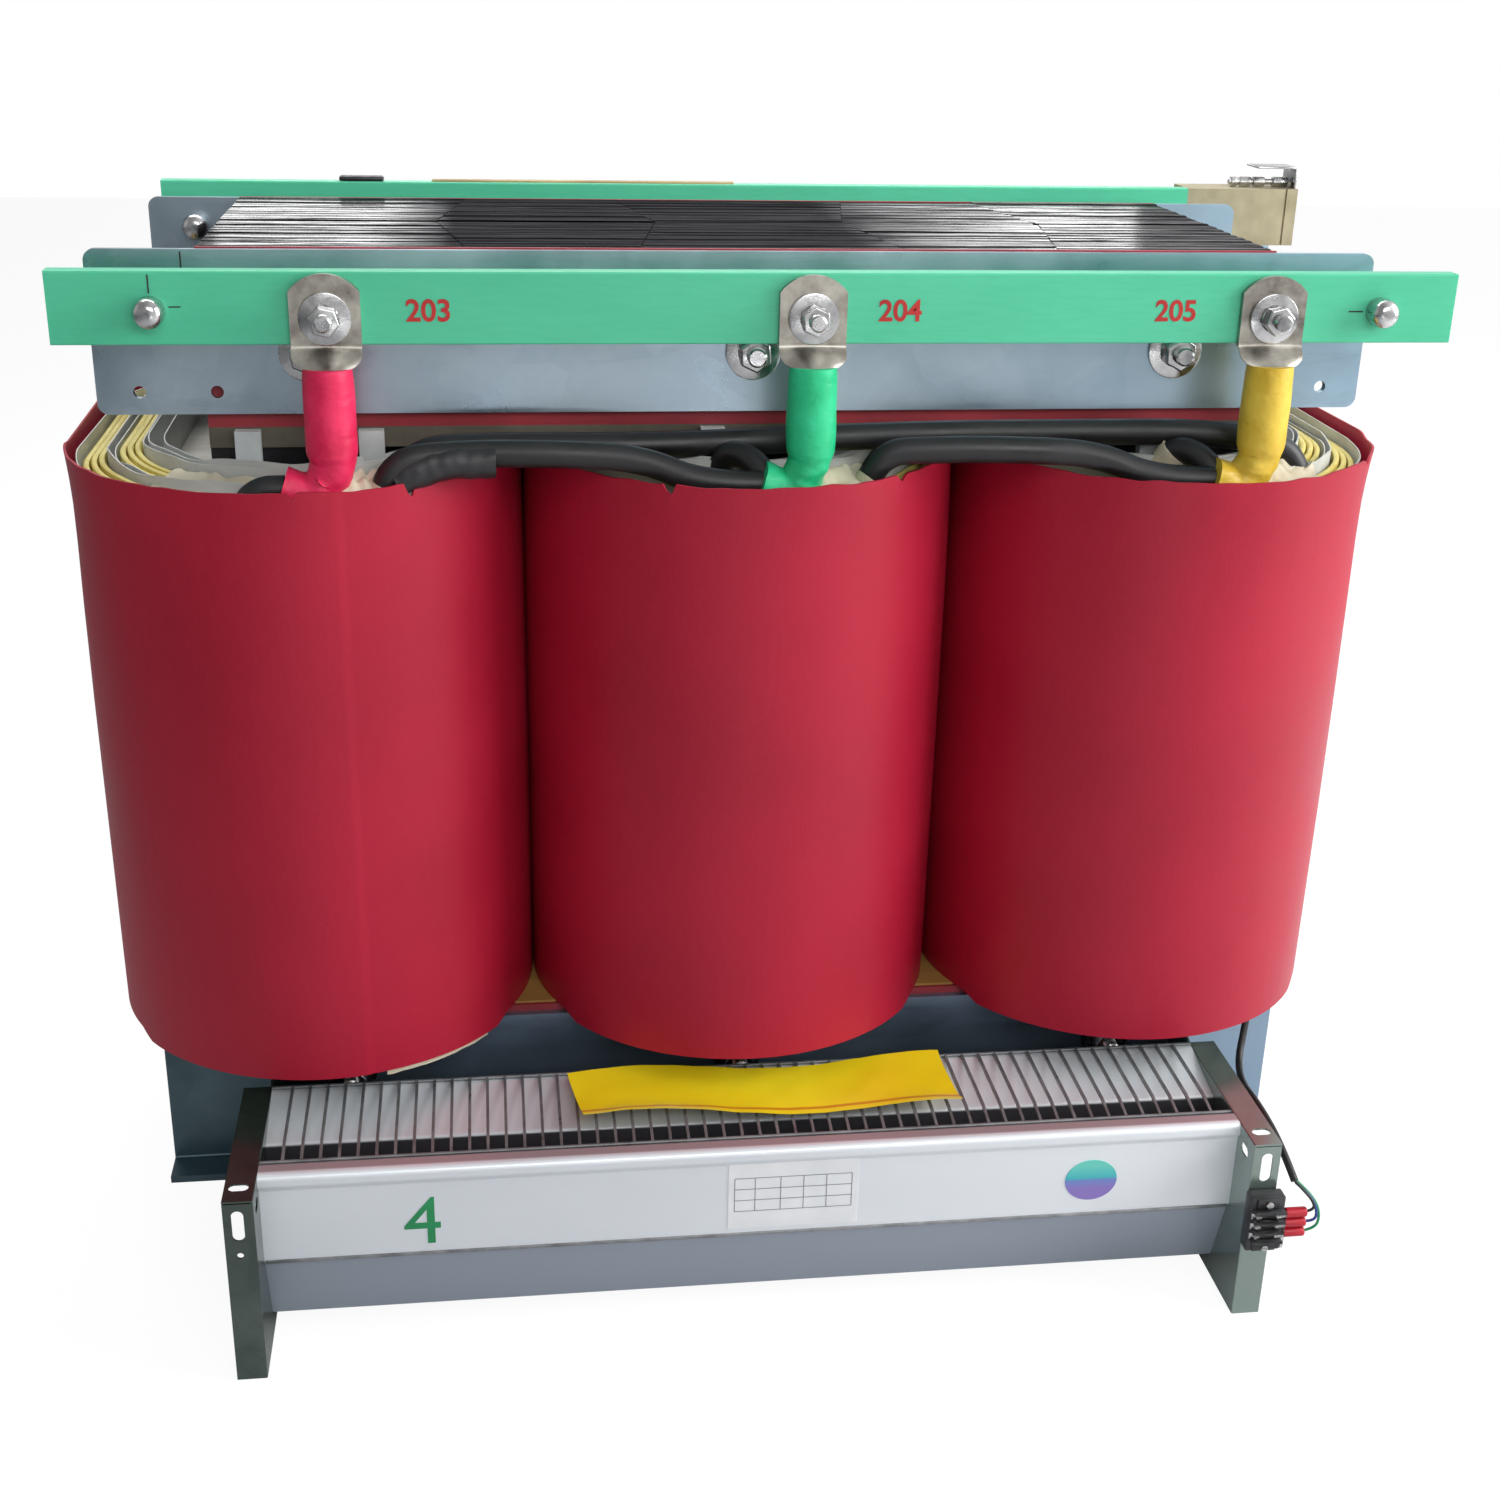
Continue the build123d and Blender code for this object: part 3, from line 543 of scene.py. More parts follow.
def wear(piece, kind, **settings):
    """Adds a modifier and applies it."""
    modifier = piece.modifiers.new("finish", kind)
    for key, value in settings.items():
        setattr(modifier, key, value)
    take(piece)
    bpy.ops.object.modifier_apply(modifier=modifier.name)


def joined(name, *pieces):
    take(*pieces)
    bpy.ops.object.join()
    pieces[0].name = pieces[0].data.name = name
    return pieces[0]


def copied(piece, name, *turns):
    """Copies of a piece, each with its own mesh moved by a matrix, as one object."""
    row = []
    for turn in turns:
        twin = piece.copy()
        twin.data = piece.data.copy()
        twin.data.transform(turn)
        bpy.context.collection.objects.link(twin)
        row.append(twin)
    bpy.data.objects.remove(piece)
    return joined(name, *row)


def settle(piece, made, angle=35, stands_for=()):
    piece.data.materials.clear()
    piece.data.materials.append(made)
    if piece.type == "MESH":
        take(piece)
        bpy.ops.object.shade_smooth_by_angle(angle=radians(angle))
    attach(piece, "root")
    if stands_for:
        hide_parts(*stands_for)
    return piece


def shift(x, y, z):
    return Matrix.Translation((x, y, z))


REAR = Matrix.Rotation(pi, 4, "Z")


# Coils

def oval(add, name, z, **more):
    """A ring drawn out along Y into the coil's oval."""
    ring = begin(add, name, location=(0, 0, z), **more)
    shape(ring, "verts", lambda v: v.co.y > 0.0001, slide(y=COIL_FLAT / 2))
    shape(ring, "verts", lambda v: v.co.y < -0.0001, slide(y=-COIL_FLAT / 2))
    return ring


def standing_sheet(name, radius, low, high, thick, levels, ripple, seed):
    """Insulation standing on edge round a coil, with a wavy top."""
    sheet = oval(bpy.ops.mesh.primitive_circle_add, name, low, radius=radius, vertices=129)
    for _ in range(levels):
        raise_top(sheet, (high - low) / levels)
    for v in sheet.data.vertices:
        share = (v.co.z - low) / (high - low)
        wave = noise.noise(Vector((v.co.x * 26, v.co.y * 26, seed)))
        v.co.z += wave * ripple * share
        v.co.xy *= 1 + 0.006 * share * noise.noise(Vector((v.co.x * 14, v.co.y * 14, seed + 5)))
    wear(sheet, "SOLIDIFY", thickness=thick, offset=-1)
    return sheet


def raise_top(piece, by):
    top = max(v.co.z for v in piece.data.vertices)
    shape(piece, "verts", lambda v: v.co.z > top - 1e-6, pull(z=by))


def rim_notch(angle, centre, half, depth):
    near = abs((angle - centre + pi) % (2 * pi) - pi) / half
    return depth * max(0.0, 1 - near)


WRAP_TEARS = {
    "left": ((-1.02, 0.028, 0.013), (-1.52, 0.02, 0.005)),
    "middle": ((-1.98, 0.022, 0.012), (-0.9, 0.03, 0.006)),
    "right": ((-0.62, 0.05, 0.004),),
}
WRAP_LAP = {"left": -1.34, "middle": 1.2, "right": 1.9}
WRAP_FLARE = {"left": (pi, 0.004), "middle": (-pi / 2, 0.002), "right": (0.0, 0.006)}


def coil_wrap(name, x):
    """Red paper round a coil: flared rim with small tears, soft dents, and the lap of its last turn."""
    wrap = oval(bpy.ops.mesh.primitive_circle_add, f"wrap_{name}", COIL_BOTTOM,
                radius=COIL_RADIUS - 0.0004, vertices=321)
    for step in (0.06, 0.1, 0.1, 0.08, 0.05, 0.03, 0.018, 0.012, 0.006, 0.004):
        raise_top(wrap, step)
    lean, flare = WRAP_FLARE[name]
    seed = {"left": 3.0, "middle": 11.0, "right": 23.0}[name]
    for v in wrap.data.vertices:
        flat_y = max(-COIL_FLAT / 2, min(COIL_FLAT / 2, v.co.y))
        out = Vector((v.co.x, v.co.y - flat_y, 0)).normalized()
        angle = -Vector((1, 0)).angle_signed(Vector((out.x, out.y)), 0)
        high = (v.co.z - COIL_BOTTOM) / (RIM - COIL_BOTTOM)
        near_rim = max(0.0, (high - 0.86) / 0.14)
        dent = noise.noise(Vector((v.co.x * 9, v.co.y * 9, v.co.z * 4 + seed)))
        ruffle = noise.noise(Vector((v.co.x * 24, v.co.y * 24, seed)))
        bulge = 0.0014 * abs(out.x) ** 6 * sin(pi * min(1.0, max(0.0, high)))
        push = 0.0008 * dent + bulge + near_rim ** 2 * (0.0016 * ruffle)
        push += near_rim ** 2 * flare * max(0.0, cos(angle - lean)) ** 2
        past_lap = (WRAP_LAP[name] - angle) % (2 * pi)
        push += 0.0009 * max(0.0, 1 - past_lap / 0.9)
        v.co += out * push
        if high < 0.01:
            v.co.z -= 0.0065 * max(0.0, min(1.0, (abs(v.co.y) - 0.156) / 0.014))
        if near_rim > 0:
            v.co.z += near_rim * (0.0022 * ruffle + 0.0012 * noise.noise(Vector((angle * 9, seed, 0))))
            for centre, half, depth in WRAP_TEARS[name]:
                v.co.z -= near_rim ** 3 * rim_notch(angle, centre, half, depth)
    wear(wrap, "SOLIDIFY", thickness=0.0018, offset=-1)
    wrap.data.transform(shift(x, 0, 0))
    return settle(wrap, PAPER, 50, [f"coil_wrap_{name}"])


def conductor_ring(name, radius, low, high, thick):
    """A flat paper-covered conductor on edge, with a round top."""
    ring = oval(bpy.ops.mesh.primitive_torus_add, name, (low + high) / 2, major_radius=radius,
                minor_radius=thick, major_segments=128, minor_segments=10)
    stretch = (high - low) / 2 - thick
    shape(ring, "verts", lambda v: v.co.z > (low + high) / 2 + 1e-5, slide(z=stretch))
    shape(ring, "verts", lambda v: v.co.z < (low + high) / 2 - 1e-5, slide(z=-stretch))
    return ring


CONDUCTORS = ((0.1570, 0.650), (0.1512, 0.652), (0.1454, 0.654), (0.1300, 0.658), (0.1245, 0.660),
              (0.1190, 0.661))
SHEETS = ((0.1625, 0.024), (0.1400, 0.029), (0.1350, 0.026), (0.1140, 0.034), (0.1100, 0.036),
          (0.0990, 0.034))


def winding_edges(name, x):
    """Tops of the layers: paper-covered conductors in groups, with insulation standing between them."""
    rings = []
    for count, (radius, top) in enumerate(CONDUCTORS):
        rings.append(conductor_ring(f"conductor_{name}_{count}", radius, WINDING_TOP - 0.002,
                                    top - 0.004, 0.0024))
    wires = joined(f"conductors_{name}", *rings)
    for v in wires.data.vertices:
        ends = min(1.0, abs(v.co.x) / 0.12)
        v.co.z -= 0.011 * (1 - ends)
        v.co.z += 0.0016 * noise.noise(Vector((v.co.x * 12, v.co.y * 12, x * 7)))
    wires.data.transform(shift(x, 0, 0))
    settle(wires, COVERED_WIRE, 50)
    layers = [
        standing_sheet(f"sheet_{name}_{k}", radius, WINDING_TOP - 0.004, WINDING_TOP + rise, 0.0009,
                       4, 0.004, k + x)
        for k, (radius, rise) in enumerate(SHEETS)
    ]
    sheets = joined(f"insulation_{name}", *layers)
    sheets.data.transform(shift(x, 0, 0))
    settle(sheets, INSULATION, 50)


COVERED_WIRE = board("paper_covered_wire", (232, 220, 138), (206, 186, 92), 0.55)
INSULATION = board("white_insulation", (216, 218, 214), (186, 188, 184), 0.6)
for name, x in COILS.items():
    coil_wrap(name, x)
    winding_edges(name, x)


# Leads

def lead(name, points, thick=0.020):
    """A lead on one smooth curve that goes from a coil's top to a sleeve or the next coil."""
    line = bpy.data.curves.new(name, "CURVE")
    line.dimensions = "3D"
    line.bevel_depth = thick / 2
    line.bevel_resolution = 5
    line.use_fill_caps = True
    run = line.splines.new("NURBS")
    run.points.add(len(points) - 1)
    for point, place in zip(run.points, points):
        point.co = (*place, 1)
    run.order_u = 3
    run.use_endpoint_u = True
    run.resolution_u = 10
    piece = bpy.data.objects.new(name, line)
    bpy.context.collection.objects.link(piece)
    return piece


LEADS = {
    "lead_left_middle": ((-0.272, -0.208, 0.628), (-0.272, -0.208, 0.672), (-0.2084, -0.203, 0.676),
                         (-0.1486, -0.207, 0.676), (-0.085, -0.205, 0.672), (-0.043, -0.214, 0.654),
                         (0.001, -0.214, 0.654)),
    "lead_middle_right": ((0.080, -0.195, 0.628), (0.080, -0.195, 0.672), (0.1388, -0.203, 0.676),
                          (0.1942, -0.207, 0.676), (0.253, -0.205, 0.672), (0.295, -0.214, 0.654),
                          (0.339, -0.214, 0.654)),
    "lead_long": ((-0.262, -0.180, 0.628), (-0.262, -0.180, 0.672), (-0.1893, -0.1705, 0.674),
                  (-0.0710, -0.1695, 0.672), (0.1115, -0.1705, 0.680), (0.2603, -0.1695, 0.680),
                  (0.3448, -0.1705, 0.680), (0.420, -0.185, 0.672), (0.420, -0.185, 0.628)),
}
for name, points in LEADS.items():
    piece = settle(lead(name, points), LEAD, stands_for=["delta_leads"])


# Sleeves over the lug barrels

def tube(name, points, radii, sides=8, steps=20):
    """A round piece along a smooth line, thicker or thinner at each point, as a mesh."""
    piece = lead(name, points, 2.0)
    piece.data.bevel_resolution = sides
    run = piece.data.splines[0]
    run.resolution_u = steps
    for point, radius in zip(run.points, radii):
        point.radius = radius
    take(piece)
    bpy.ops.object.convert(target="MESH")
    piece = bpy.context.object
    shape(piece, "verts", everything, lambda: bpy.ops.mesh.remove_doubles(threshold=0.00001), outward)
    return piece


SLEEVE_LINE = ((0, 0.7395), (0, 0.730), (0, 0.702), (0, 0.681), (0, 0.676), (-0.0005, 0.671),
               (-0.004, 0.661), (-0.012, 0.651), (-0.024, 0.650), (-0.036, 0.654))
SLEEVE_RADII = (0.0170, 0.0178, 0.0180, 0.0181, 0.0166, 0.0152, 0.0150, 0.0152, 0.0158, 0.0172)


def sleeve(colour, x):
    """A shrunk sleeve front and rear, creased where it bends."""
    pair = []
    for side, y, rise in (("front", -SLEEVE_DEPTH, 0.0), ("rear", SLEEVE_DEPTH, REAR_RISE)):
        line = [(x + across, y, z + rise * (z > 0.69)) for across, z in SLEEVE_LINE]
        piece = tube(f"sleeve_{colour}_{side}", line, SLEEVE_RADII, 10, 16)
        for v in piece.data.vertices:
            low = max(0.0, min(1.0, (0.682 - v.co.z) / 0.02))
            spot = Vector((v.co.x * 70, v.co.y * 70, v.co.z * 120))
            v.co += v.normal * (0.0005 * noise.noise(spot * 0.4) + 0.0022 * low * noise.noise(spot))
        pair.append(piece)
    whole = joined(f"sleeves_{colour}", *pair)
    settle(whole, SLEEVES[colour], 60, [f"sleeve_{colour}"])


for colour, x in zip(("red", "green", "yellow"), LUG_X):
    sleeve(colour, x)
for name, x in (("middle", LUG_X[1]), ("right", LUG_X[2])):
    line = ((x - 0.062, -0.176, 0.628), (x - 0.062, -0.178, 0.660), (x - 0.052, -0.186, 0.672),
            (x - 0.036, -0.200, 0.666), (x - 0.030, -0.209, 0.655))
    settle(tube(f"coil_lead_{name}", line, (0.0098,) * 5), LEAD, 60)


# Bolts

def disc(name, radius, thick, z, edge):
    piece = begin(bpy.ops.mesh.primitive_cylinder_add, name, radius=radius, depth=thick, vertices=40,
                  location=(0, 0, z + thick / 2))
    shape(piece, "edges", sharp, round_off(edge))
    return piece


def hex_nut(name, flats, height, z):
    """A nut with its corners turned down to a round face."""
    nut = begin(bpy.ops.mesh.primitive_cylinder_add, name, radius=flats / 2 / cos(pi / 6), depth=height,
                vertices=6, location=(0, 0, z + height / 2))
    shape(nut, "faces", facing(z=1), inset(flats * 0.05), slide(z=height * 0.07))
    shape(nut, "edges", sharp, round_off(flats * 0.022))
    return nut


def threaded_end(name, radius, height, z):
    """A stud's end with its thread cut as ridges and its tip turned down."""
    stud = begin(bpy.ops.mesh.primitive_cylinder_add, name, radius=radius, depth=0.001, vertices=24,
                 location=(0, 0, z))
    turns = max(2, int(height / 0.0018))
    for _ in range(turns):
        for width in (0.9, 1 / 0.9):
            shape(stud, "faces", highest(stud), pull(z=height / turns / 2), grow(width, width, 1))
    shape(stud, "faces", highest(stud), pull(z=0.001), grow(0.8, 0.8, 1))
    return stud


def highest(piece):
    top = max(v.co.z for v in piece.data.vertices)
    return lambda face: face.calc_center_median().z > top - 1e-6 and face.normal.z > 0.9


def split_washer(name, radius, thick, z):
    ring = begin(bpy.ops.mesh.primitive_torus_add, name, major_radius=radius, minor_radius=thick / 2,
                 major_segments=40, minor_segments=6, location=(0, 0, z + thick / 2))
    shape(ring, "faces", lambda f: abs(f.calc_center_median().y) < 0.001 and f.calc_center_median().x > 0,
          lambda: bpy.ops.mesh.delete(type="FACE"))
    for low in (True, False):
        shape(ring, "edges", lambda e: e.is_boundary and (e.verts[0].co.y < 0) == low,
              lambda: bpy.ops.mesh.edge_face_add())
    return ring


def bolt_end(name, stud, flats, nut, washer, washer_thick, tip):
    """Flat washer, split washer, nut and threaded end, standing up from the plate they hold."""
    lift = washer_thick
    return joined(
        name,
        disc("washer", washer / 2, washer_thick, 0, washer_thick * 0.2),
        split_washer("split", stud * 0.72, 0.003, lift),
        hex_nut("nut", flats, nut, lift + 0.0025),
        threaded_end("stud", stud / 2, tip, lift + 0.0025 + nut),
    )


TO_FRONT = Matrix.Rotation(pi / 2, 4, "X")
lug_bolt = bolt_end("lug_bolt", 0.012, 0.019, 0.010, 0.036, 0.003, 0.007)
back_nut = hex_nut("back_nut", 0.019, 0.010, 0.0)
back_nut.data.transform(shift(0, 0, -0.020) @ Matrix.Rotation(pi, 4, "X"))
lug_bolt = joined("lug_bolt", lug_bolt, back_nut)
lug_places = [shift(x, 0, STUD_HEIGHT) for x in LUG_X]
lug_places += [REAR @ shift(-x, 0, STUD_HEIGHT + REAR_RISE) for x in LUG_X]
bolt_places = [place @ shift(0, LUG_FACE, 0) @ TO_FRONT @ Matrix.Rotation(turn, 4, "Z")
               for place, turn in zip(lug_places, (0.3, 0.1, 0.75) * 2)]
settle(copied(lug_bolt, "lug_bolts", *bolt_places), BRIGHT, 30,
       ["terminal_studs_front", "terminal_studs_rear"])


def lug_skirt():
    """The wide lower end of a lug's palm, bent out over its barrel."""
    skirt = begin(bpy.ops.mesh.primitive_grid_add, "lug_skirt", x_subdivisions=20, y_subdivisions=10,
                  size=2)
    for v in skirt.data.vertices:
        across, down = v.co.x, (1 - v.co.y) / 2
        half = 0.0240 - 0.0070 * max(0.0, (down - 0.4) / 0.6) ** 2.5
        out = 0.0184 * max(0.0, down - 0.16) * (1 - 0.3 * across ** 2)
        v.co = (half * across, LUG_FACE - 0.0005 - out, -0.0175 - 0.0150 * down)
    wear(skirt, "SOLIDIFY", thickness=0.0012, offset=-1)
    return skirt


settle(copied(lug_skirt(), "lug_skirts", *lug_places), TINNED, 40)
yoke_bolt = bolt_end("yoke_bolt", 0.014, 0.022, 0.012, 0.041, 0.003, 0.008)
yoke_places = []
for i in (-1, 0, 1):
    for z in (0.738, 0.144):
        for half in (Matrix.Identity(4), REAR):
            turn = Matrix.Rotation(0.4 + i + z, 4, "Z")
            yoke_places.append(half @ shift(i * 0.321, -0.1525, z) @ TO_FRONT @ turn)
settle(copied(yoke_bolt, "yoke_bolts", *yoke_places), BRIGHT, 30)


# Numbers and marks on the bar and fan

def number(words, place, size, slot, made, bold=0.02):
    deselect()
    bpy.ops.object.text_add(location=(0, 0, 0))
    words_piece = bpy.context.object
    words_piece.data.body = words
    words_piece.data.size = size
    words_piece.data.extrude = 0.0002
    words_piece.data.offset = size * bold
    words_piece.data.align_x = "CENTER"
    bpy.ops.object.convert(target="MESH")
    piece = bpy.context.object
    piece.name = piece.data.name = f"{slot}_number_{words}"
    piece.data.transform(shift(*place) @ TO_FRONT)
    settle(piece, made, 30)


def slab(name, x, y, z, edge, steps=2):
    """A block between the given ends, with its edges rounded."""
    spans = (x, y, z)
    piece = begin(bpy.ops.mesh.primitive_cube_add, name, size=1,
                  location=[(low + high) / 2 for low, high in spans],
                  scale=[high - low for low, high in spans])
    shape(piece, "edges", everything, round_off(edge, steps))
    return piece


def foil():
    f = Finish("foil_mark", metal=0.7, rough=0.3)
    f.colour(f.ramp(f.span(f.along("Z"), 0, 1, 0.095, 0.132), (0.3, tint(150, 132, 206)),
                    (0.5, tint(122, 150, 214)), (0.56, tint(80, 196, 204)), (0.85, tint(120, 220, 206))))
    return f.made


MARKING = moulded("red_marking", (196, 44, 40), (170, 30, 30), 0.5)
GREEN_MARKING = moulded("green_marking", (36, 150, 92), (24, 128, 76), 0.5)
INK = moulded("black_ink", (40, 40, 44), (28, 28, 31), 0.6)
LABEL = moulded("white_label", (238, 240, 242), (226, 229, 232), 0.4)
RULES = moulded("grey_rules", (128, 132, 138), (112, 116, 122), 0.5)
PANEL_FACE = -0.320
for words, x in (("203", -0.233), ("204", 0.098), ("205", 0.301)):
    number(words, (x, BAR_FACE - 0.0002, 0.7695), 0.021, "bar_laminate", MARKING)
number("4", (-0.2605, PANEL_FACE - 0.0002, 0.0905), 0.060, "fan_sheet", GREEN_MARKING, 0.0)


def on_panel(out, into):
    """Depths of a thin piece that stands out from the fan's panel and sinks into it."""
    return (PANEL_FACE - out, PANEL_FACE + into)


RULE_HALF = 0.0003
ON_CLAMP = (-0.1527, -0.1523)
ON_BAR = (BAR_FACE - 0.0003, BAR_FACE + 0.0001)
settle(slab("panel_rib", (-0.3795, 0.3795), on_panel(0.0008, 0.0006), (0.0800, 0.0830), 0.0006),
       BLADES, 30)
settle(joined("pen_marks", slab("tick_a", (-0.4047, -0.4035), ON_CLAMP, (0.796, 0.8085), 0.0001, 1),
              slab("tick_b", (-0.4197, -0.4187), ON_BAR, (0.788, 0.8005), 0.0001, 1),
              slab("tick_d", (-0.4070, -0.3990), ON_BAR, (0.7785, 0.7794), 0.0001, 1),
              slab("tick_c", (0.432, 0.443), ON_BAR, (0.7755, 0.7765), 0.0001, 1)),
       INK, 30)
settle(slab("fan_label", (-0.027, 0.075), on_panel(0.0005, 0.0003), (0.087, 0.147), 0.0002, 1),
       LABEL, 30)
rules = [slab(f"rule_{z}", (-0.022, 0.070), on_panel(0.0007, -0.0003),
              (z - RULE_HALF, z + RULE_HALF), 0.0001, 1)
         for z in (0.103, 0.113, 0.123, 0.133)]
rules += [slab(f"post_{x}", (x - RULE_HALF, x + RULE_HALF), on_panel(0.0007, -0.0003),
               (0.103, 0.133), 0.0001, 1)
          for x in (-0.022, -0.006, 0.014, 0.032, 0.050, 0.070)]
settle(joined("label_rules", *rules), RULES, 30)
mark = begin(bpy.ops.mesh.primitive_cylinder_add, "foil_oval", radius=0.0185, depth=0.0008, vertices=64,
             location=(0.263, PANEL_FACE - 0.0001, 0.1135), rotation=(pi / 2, 0, 0))
shape(mark, "verts", everything, grow(x=1.14, centre=(0.263, PANEL_FACE, 0.1135)))
settle(mark, foil(), 30)


def yellow_film():
    f = Finish("yellow_film", rough=0.3, Coat_Weight=0.4, Coat_Roughness=0.15)
    split = f.node("ShaderNodeSeparateXYZ")
    f.link(f.node("ShaderNodeTexCoord").outputs["UV"], split.inputs[0])
    wide = f.cloud(9, 3)
    base = f.ramp(wide, (0.3, tint(240, 208, 16)), (0.7, tint(252, 228, 36)))
    line = f.ramp(split.outputs["Y"], (0.07, BLACK), (0.09, WHITE), (0.12, WHITE), (0.14, BLACK))
    f.colour(f.blend(line, base, tint(214, 142, 24)))
    return f.made


def film_strip():
    """Plain yellow film laid on the guard, with wavy edges."""
    film = begin(bpy.ops.mesh.primitive_grid_add, "guard_film", x_subdivisions=60, y_subdivisions=10,
                 size=1)
    for v in film.data.vertices:
        along, back = v.co.x + 0.5, v.co.y + 0.5
        left = Vector((-0.136, -0.276)).lerp(Vector((-0.146, -0.214)), back)
        right = Vector((0.164, -0.283)).lerp(Vector((0.160, -0.208)), back)
        place = left.lerp(right, along)
        bow = sin(along * 2 * pi * 1.15 + 0.5)
        curl = abs(2 * back - 1) ** 3
        crease = noise.noise(Vector((along * 14, back * 3, 4)))
        v.co = (place.x, place.y + 0.004 * bow * (1 - abs(2 * along - 1) ** 4),
                GUARD_TOP + 0.0022 * (1 + bow) * (0.3 + curl) + 0.0006 * crease)
    wear(film, "SOLIDIFY", thickness=0.0003, offset=1)
    settle(film, yellow_film(), 50)


film_strip()


# Core

SHEET_JOINTS = (-0.395, -0.23, -0.06, 0.09, 0.25, 0.395)


def core_sheets(side):
    """The sheets' edges on top of one packet, some higher or lower, with joints that step across."""
    rows, columns = 18, len(SHEET_JOINTS) - 1
    sheets = begin(bpy.ops.mesh.primitive_grid_add, f"core_sheets_{side}", x_subdivisions=columns,
                   y_subdivisions=rows, size=1, location=(0, 0, CORE_TOP))
    near, far = (0.0020, 0.1432)
    for v in sheets.data.vertices:
        column = round((v.co.x + 0.5) * columns)
        y = near + (v.co.y + 0.5) * (far - near)
        v.co.y = side * y
        v.co.x = SHEET_JOINTS[column]
        if 0 < column < columns:
            v.co.x += 0.16 * (y - near) * (1 if column % 2 else -1)
    shape(sheets, "faces", everything, outward,
          lambda: bpy.ops.mesh.inset(thickness=0.0004, use_individual=True))
    mesh = sheets.data
    raised = sorted(mesh.polygons, key=lambda face: -face.area)[:rows * columns]
    for face in raised:
        lift = 0.0004 + 0.0010 * random.random()
        for corner in face.vertices:
            mesh.vertices[corner].co.z += lift
    wear(sheets, "SOLIDIFY", thickness=0.0006, offset=-1)
    return sheets


settle(joined("core_sheets", core_sheets(-1), core_sheets(1)), LACQUER, 20)


# Tape and torn paper round the leads

def crumpled(name, coil, turn, radius, z, seed, rough=1.0):
    """A loose bit of insulation paper round a coil's front end, creased and torn along its top."""
    bit = begin(bpy.ops.mesh.primitive_grid_add, name, x_subdivisions=24, y_subdivisions=10, size=1)
    for v in bit.data.vertices:
        across, back = v.co.x + 0.5, v.co.y + 0.5
        crease = rough * noise.noise(Vector((across * 4, back * 3, seed)))
        torn = rough * noise.noise(Vector((across * 9, seed, 2)))
        angle = radians(turn[0] + (turn[1] - turn[0]) * across)
        far = radius[0] + (radius[1] - radius[0]) * back - 0.003 * abs(crease)
        v.co = (COILS[coil] + far * cos(angle), -COIL_FLAT / 2 - far * sin(angle),
                z[0] + (z[1] - z[0]) * back + 0.004 * crease + 0.004 * back * torn)
    wear(bit, "SOLIDIFY", thickness=0.0006)
    return bit


TAPE = board("cream_tape", (226, 218, 196), (198, 186, 160), 0.7)
BLACK_TAPE = moulded("black_tape", (44, 44, 47), (26, 26, 28), 0.42)
settle(joined("loose_paper",
              crumpled("paper_left", "left", (60, 76), (0.161, 0.142), (0.648, 0.664), 1.0),
              crumpled("paper_left_front", "left", (98, 132), (0.158, 0.118), (0.643, 0.656), 4.0),
              crumpled("paper_middle", "middle", (54, 78), (0.160, 0.132), (0.646, 0.660), 7.0),
              crumpled("paper_middle_back", "middle", (96, 112), (0.158, 0.136), (0.646, 0.657), 9.0),
              crumpled("paper_right", "right", (54, 74), (0.160, 0.134), (0.647, 0.662), 12.0),
              crumpled("paper_foot", "left", (38, 72), (0.1645, 0.1640), (0.1940, 0.1855), 15.0, 0.25)),
       TAPE, 50)


def wrinkled(piece, depth, scale):
    for v in piece.data.vertices:
        v.co += v.normal * depth * noise.noise(v.co * scale)
    return piece


def taped(name, points, radius, made):
    radii = [radius * (1 + 0.06 * (k % 2)) for k in range(len(points))]
    settle(wrinkled(tube(name, points, radii, 8, 14), 0.0012, 110), made, 60)


taped("tape_left_exit", ((-0.272, -0.208, 0.630), (-0.271, -0.208, 0.644), (-0.266, -0.208, 0.653)), 0.0122,
      TAPE)
taped("tape_middle_exit", ((0.080, -0.195, 0.630), (0.081, -0.195, 0.644), (0.086, -0.1952, 0.653)), 0.0122,
      TAPE)
taped("tape_right_stub", ((0.311, -0.176, 0.630), (0.311, -0.178, 0.656), (0.319, -0.184, 0.668)), 0.0126,
      TAPE)
taped("tape_long_exit", ((0.420, -0.185, 0.630), (0.419, -0.1848, 0.645), (0.415, -0.184, 0.655)), 0.0128,
      TAPE)
taped("black_tape_left", ((-0.259, -0.2079, 0.657), (-0.243, -0.2077, 0.6665), (-0.215, -0.2072, 0.6710),
                          (-0.190, -0.2068, 0.6712)), 0.0113, BLACK_TAPE)


# Fan terminal blocks

def both_fans(piece, name):
    return copied(piece, name, Matrix.Identity(4), REAR)


def cheese_screw(name, x, y, z, radius):
    screw = begin(bpy.ops.mesh.primitive_cylinder_add, name, radius=radius, depth=0.003, vertices=24,
                  location=(x, y, z), rotation=(pi / 2, 0, 0))
    shape(screw, "edges", sharp, round_off(radius * 0.2))
    slot = slab(name + "_slot", (x - radius, x + radius), (y - 0.0016, y - 0.0008),
                (z - 0.0005, z + 0.0005), 0.0001, 1)
    wear(screw, "BOOLEAN", operation="DIFFERENCE", object=slot)
    bpy.data.objects.remove(slot)
    return screw


FORK_HEIGHTS = (0.0865, 0.0955, 0.1045)


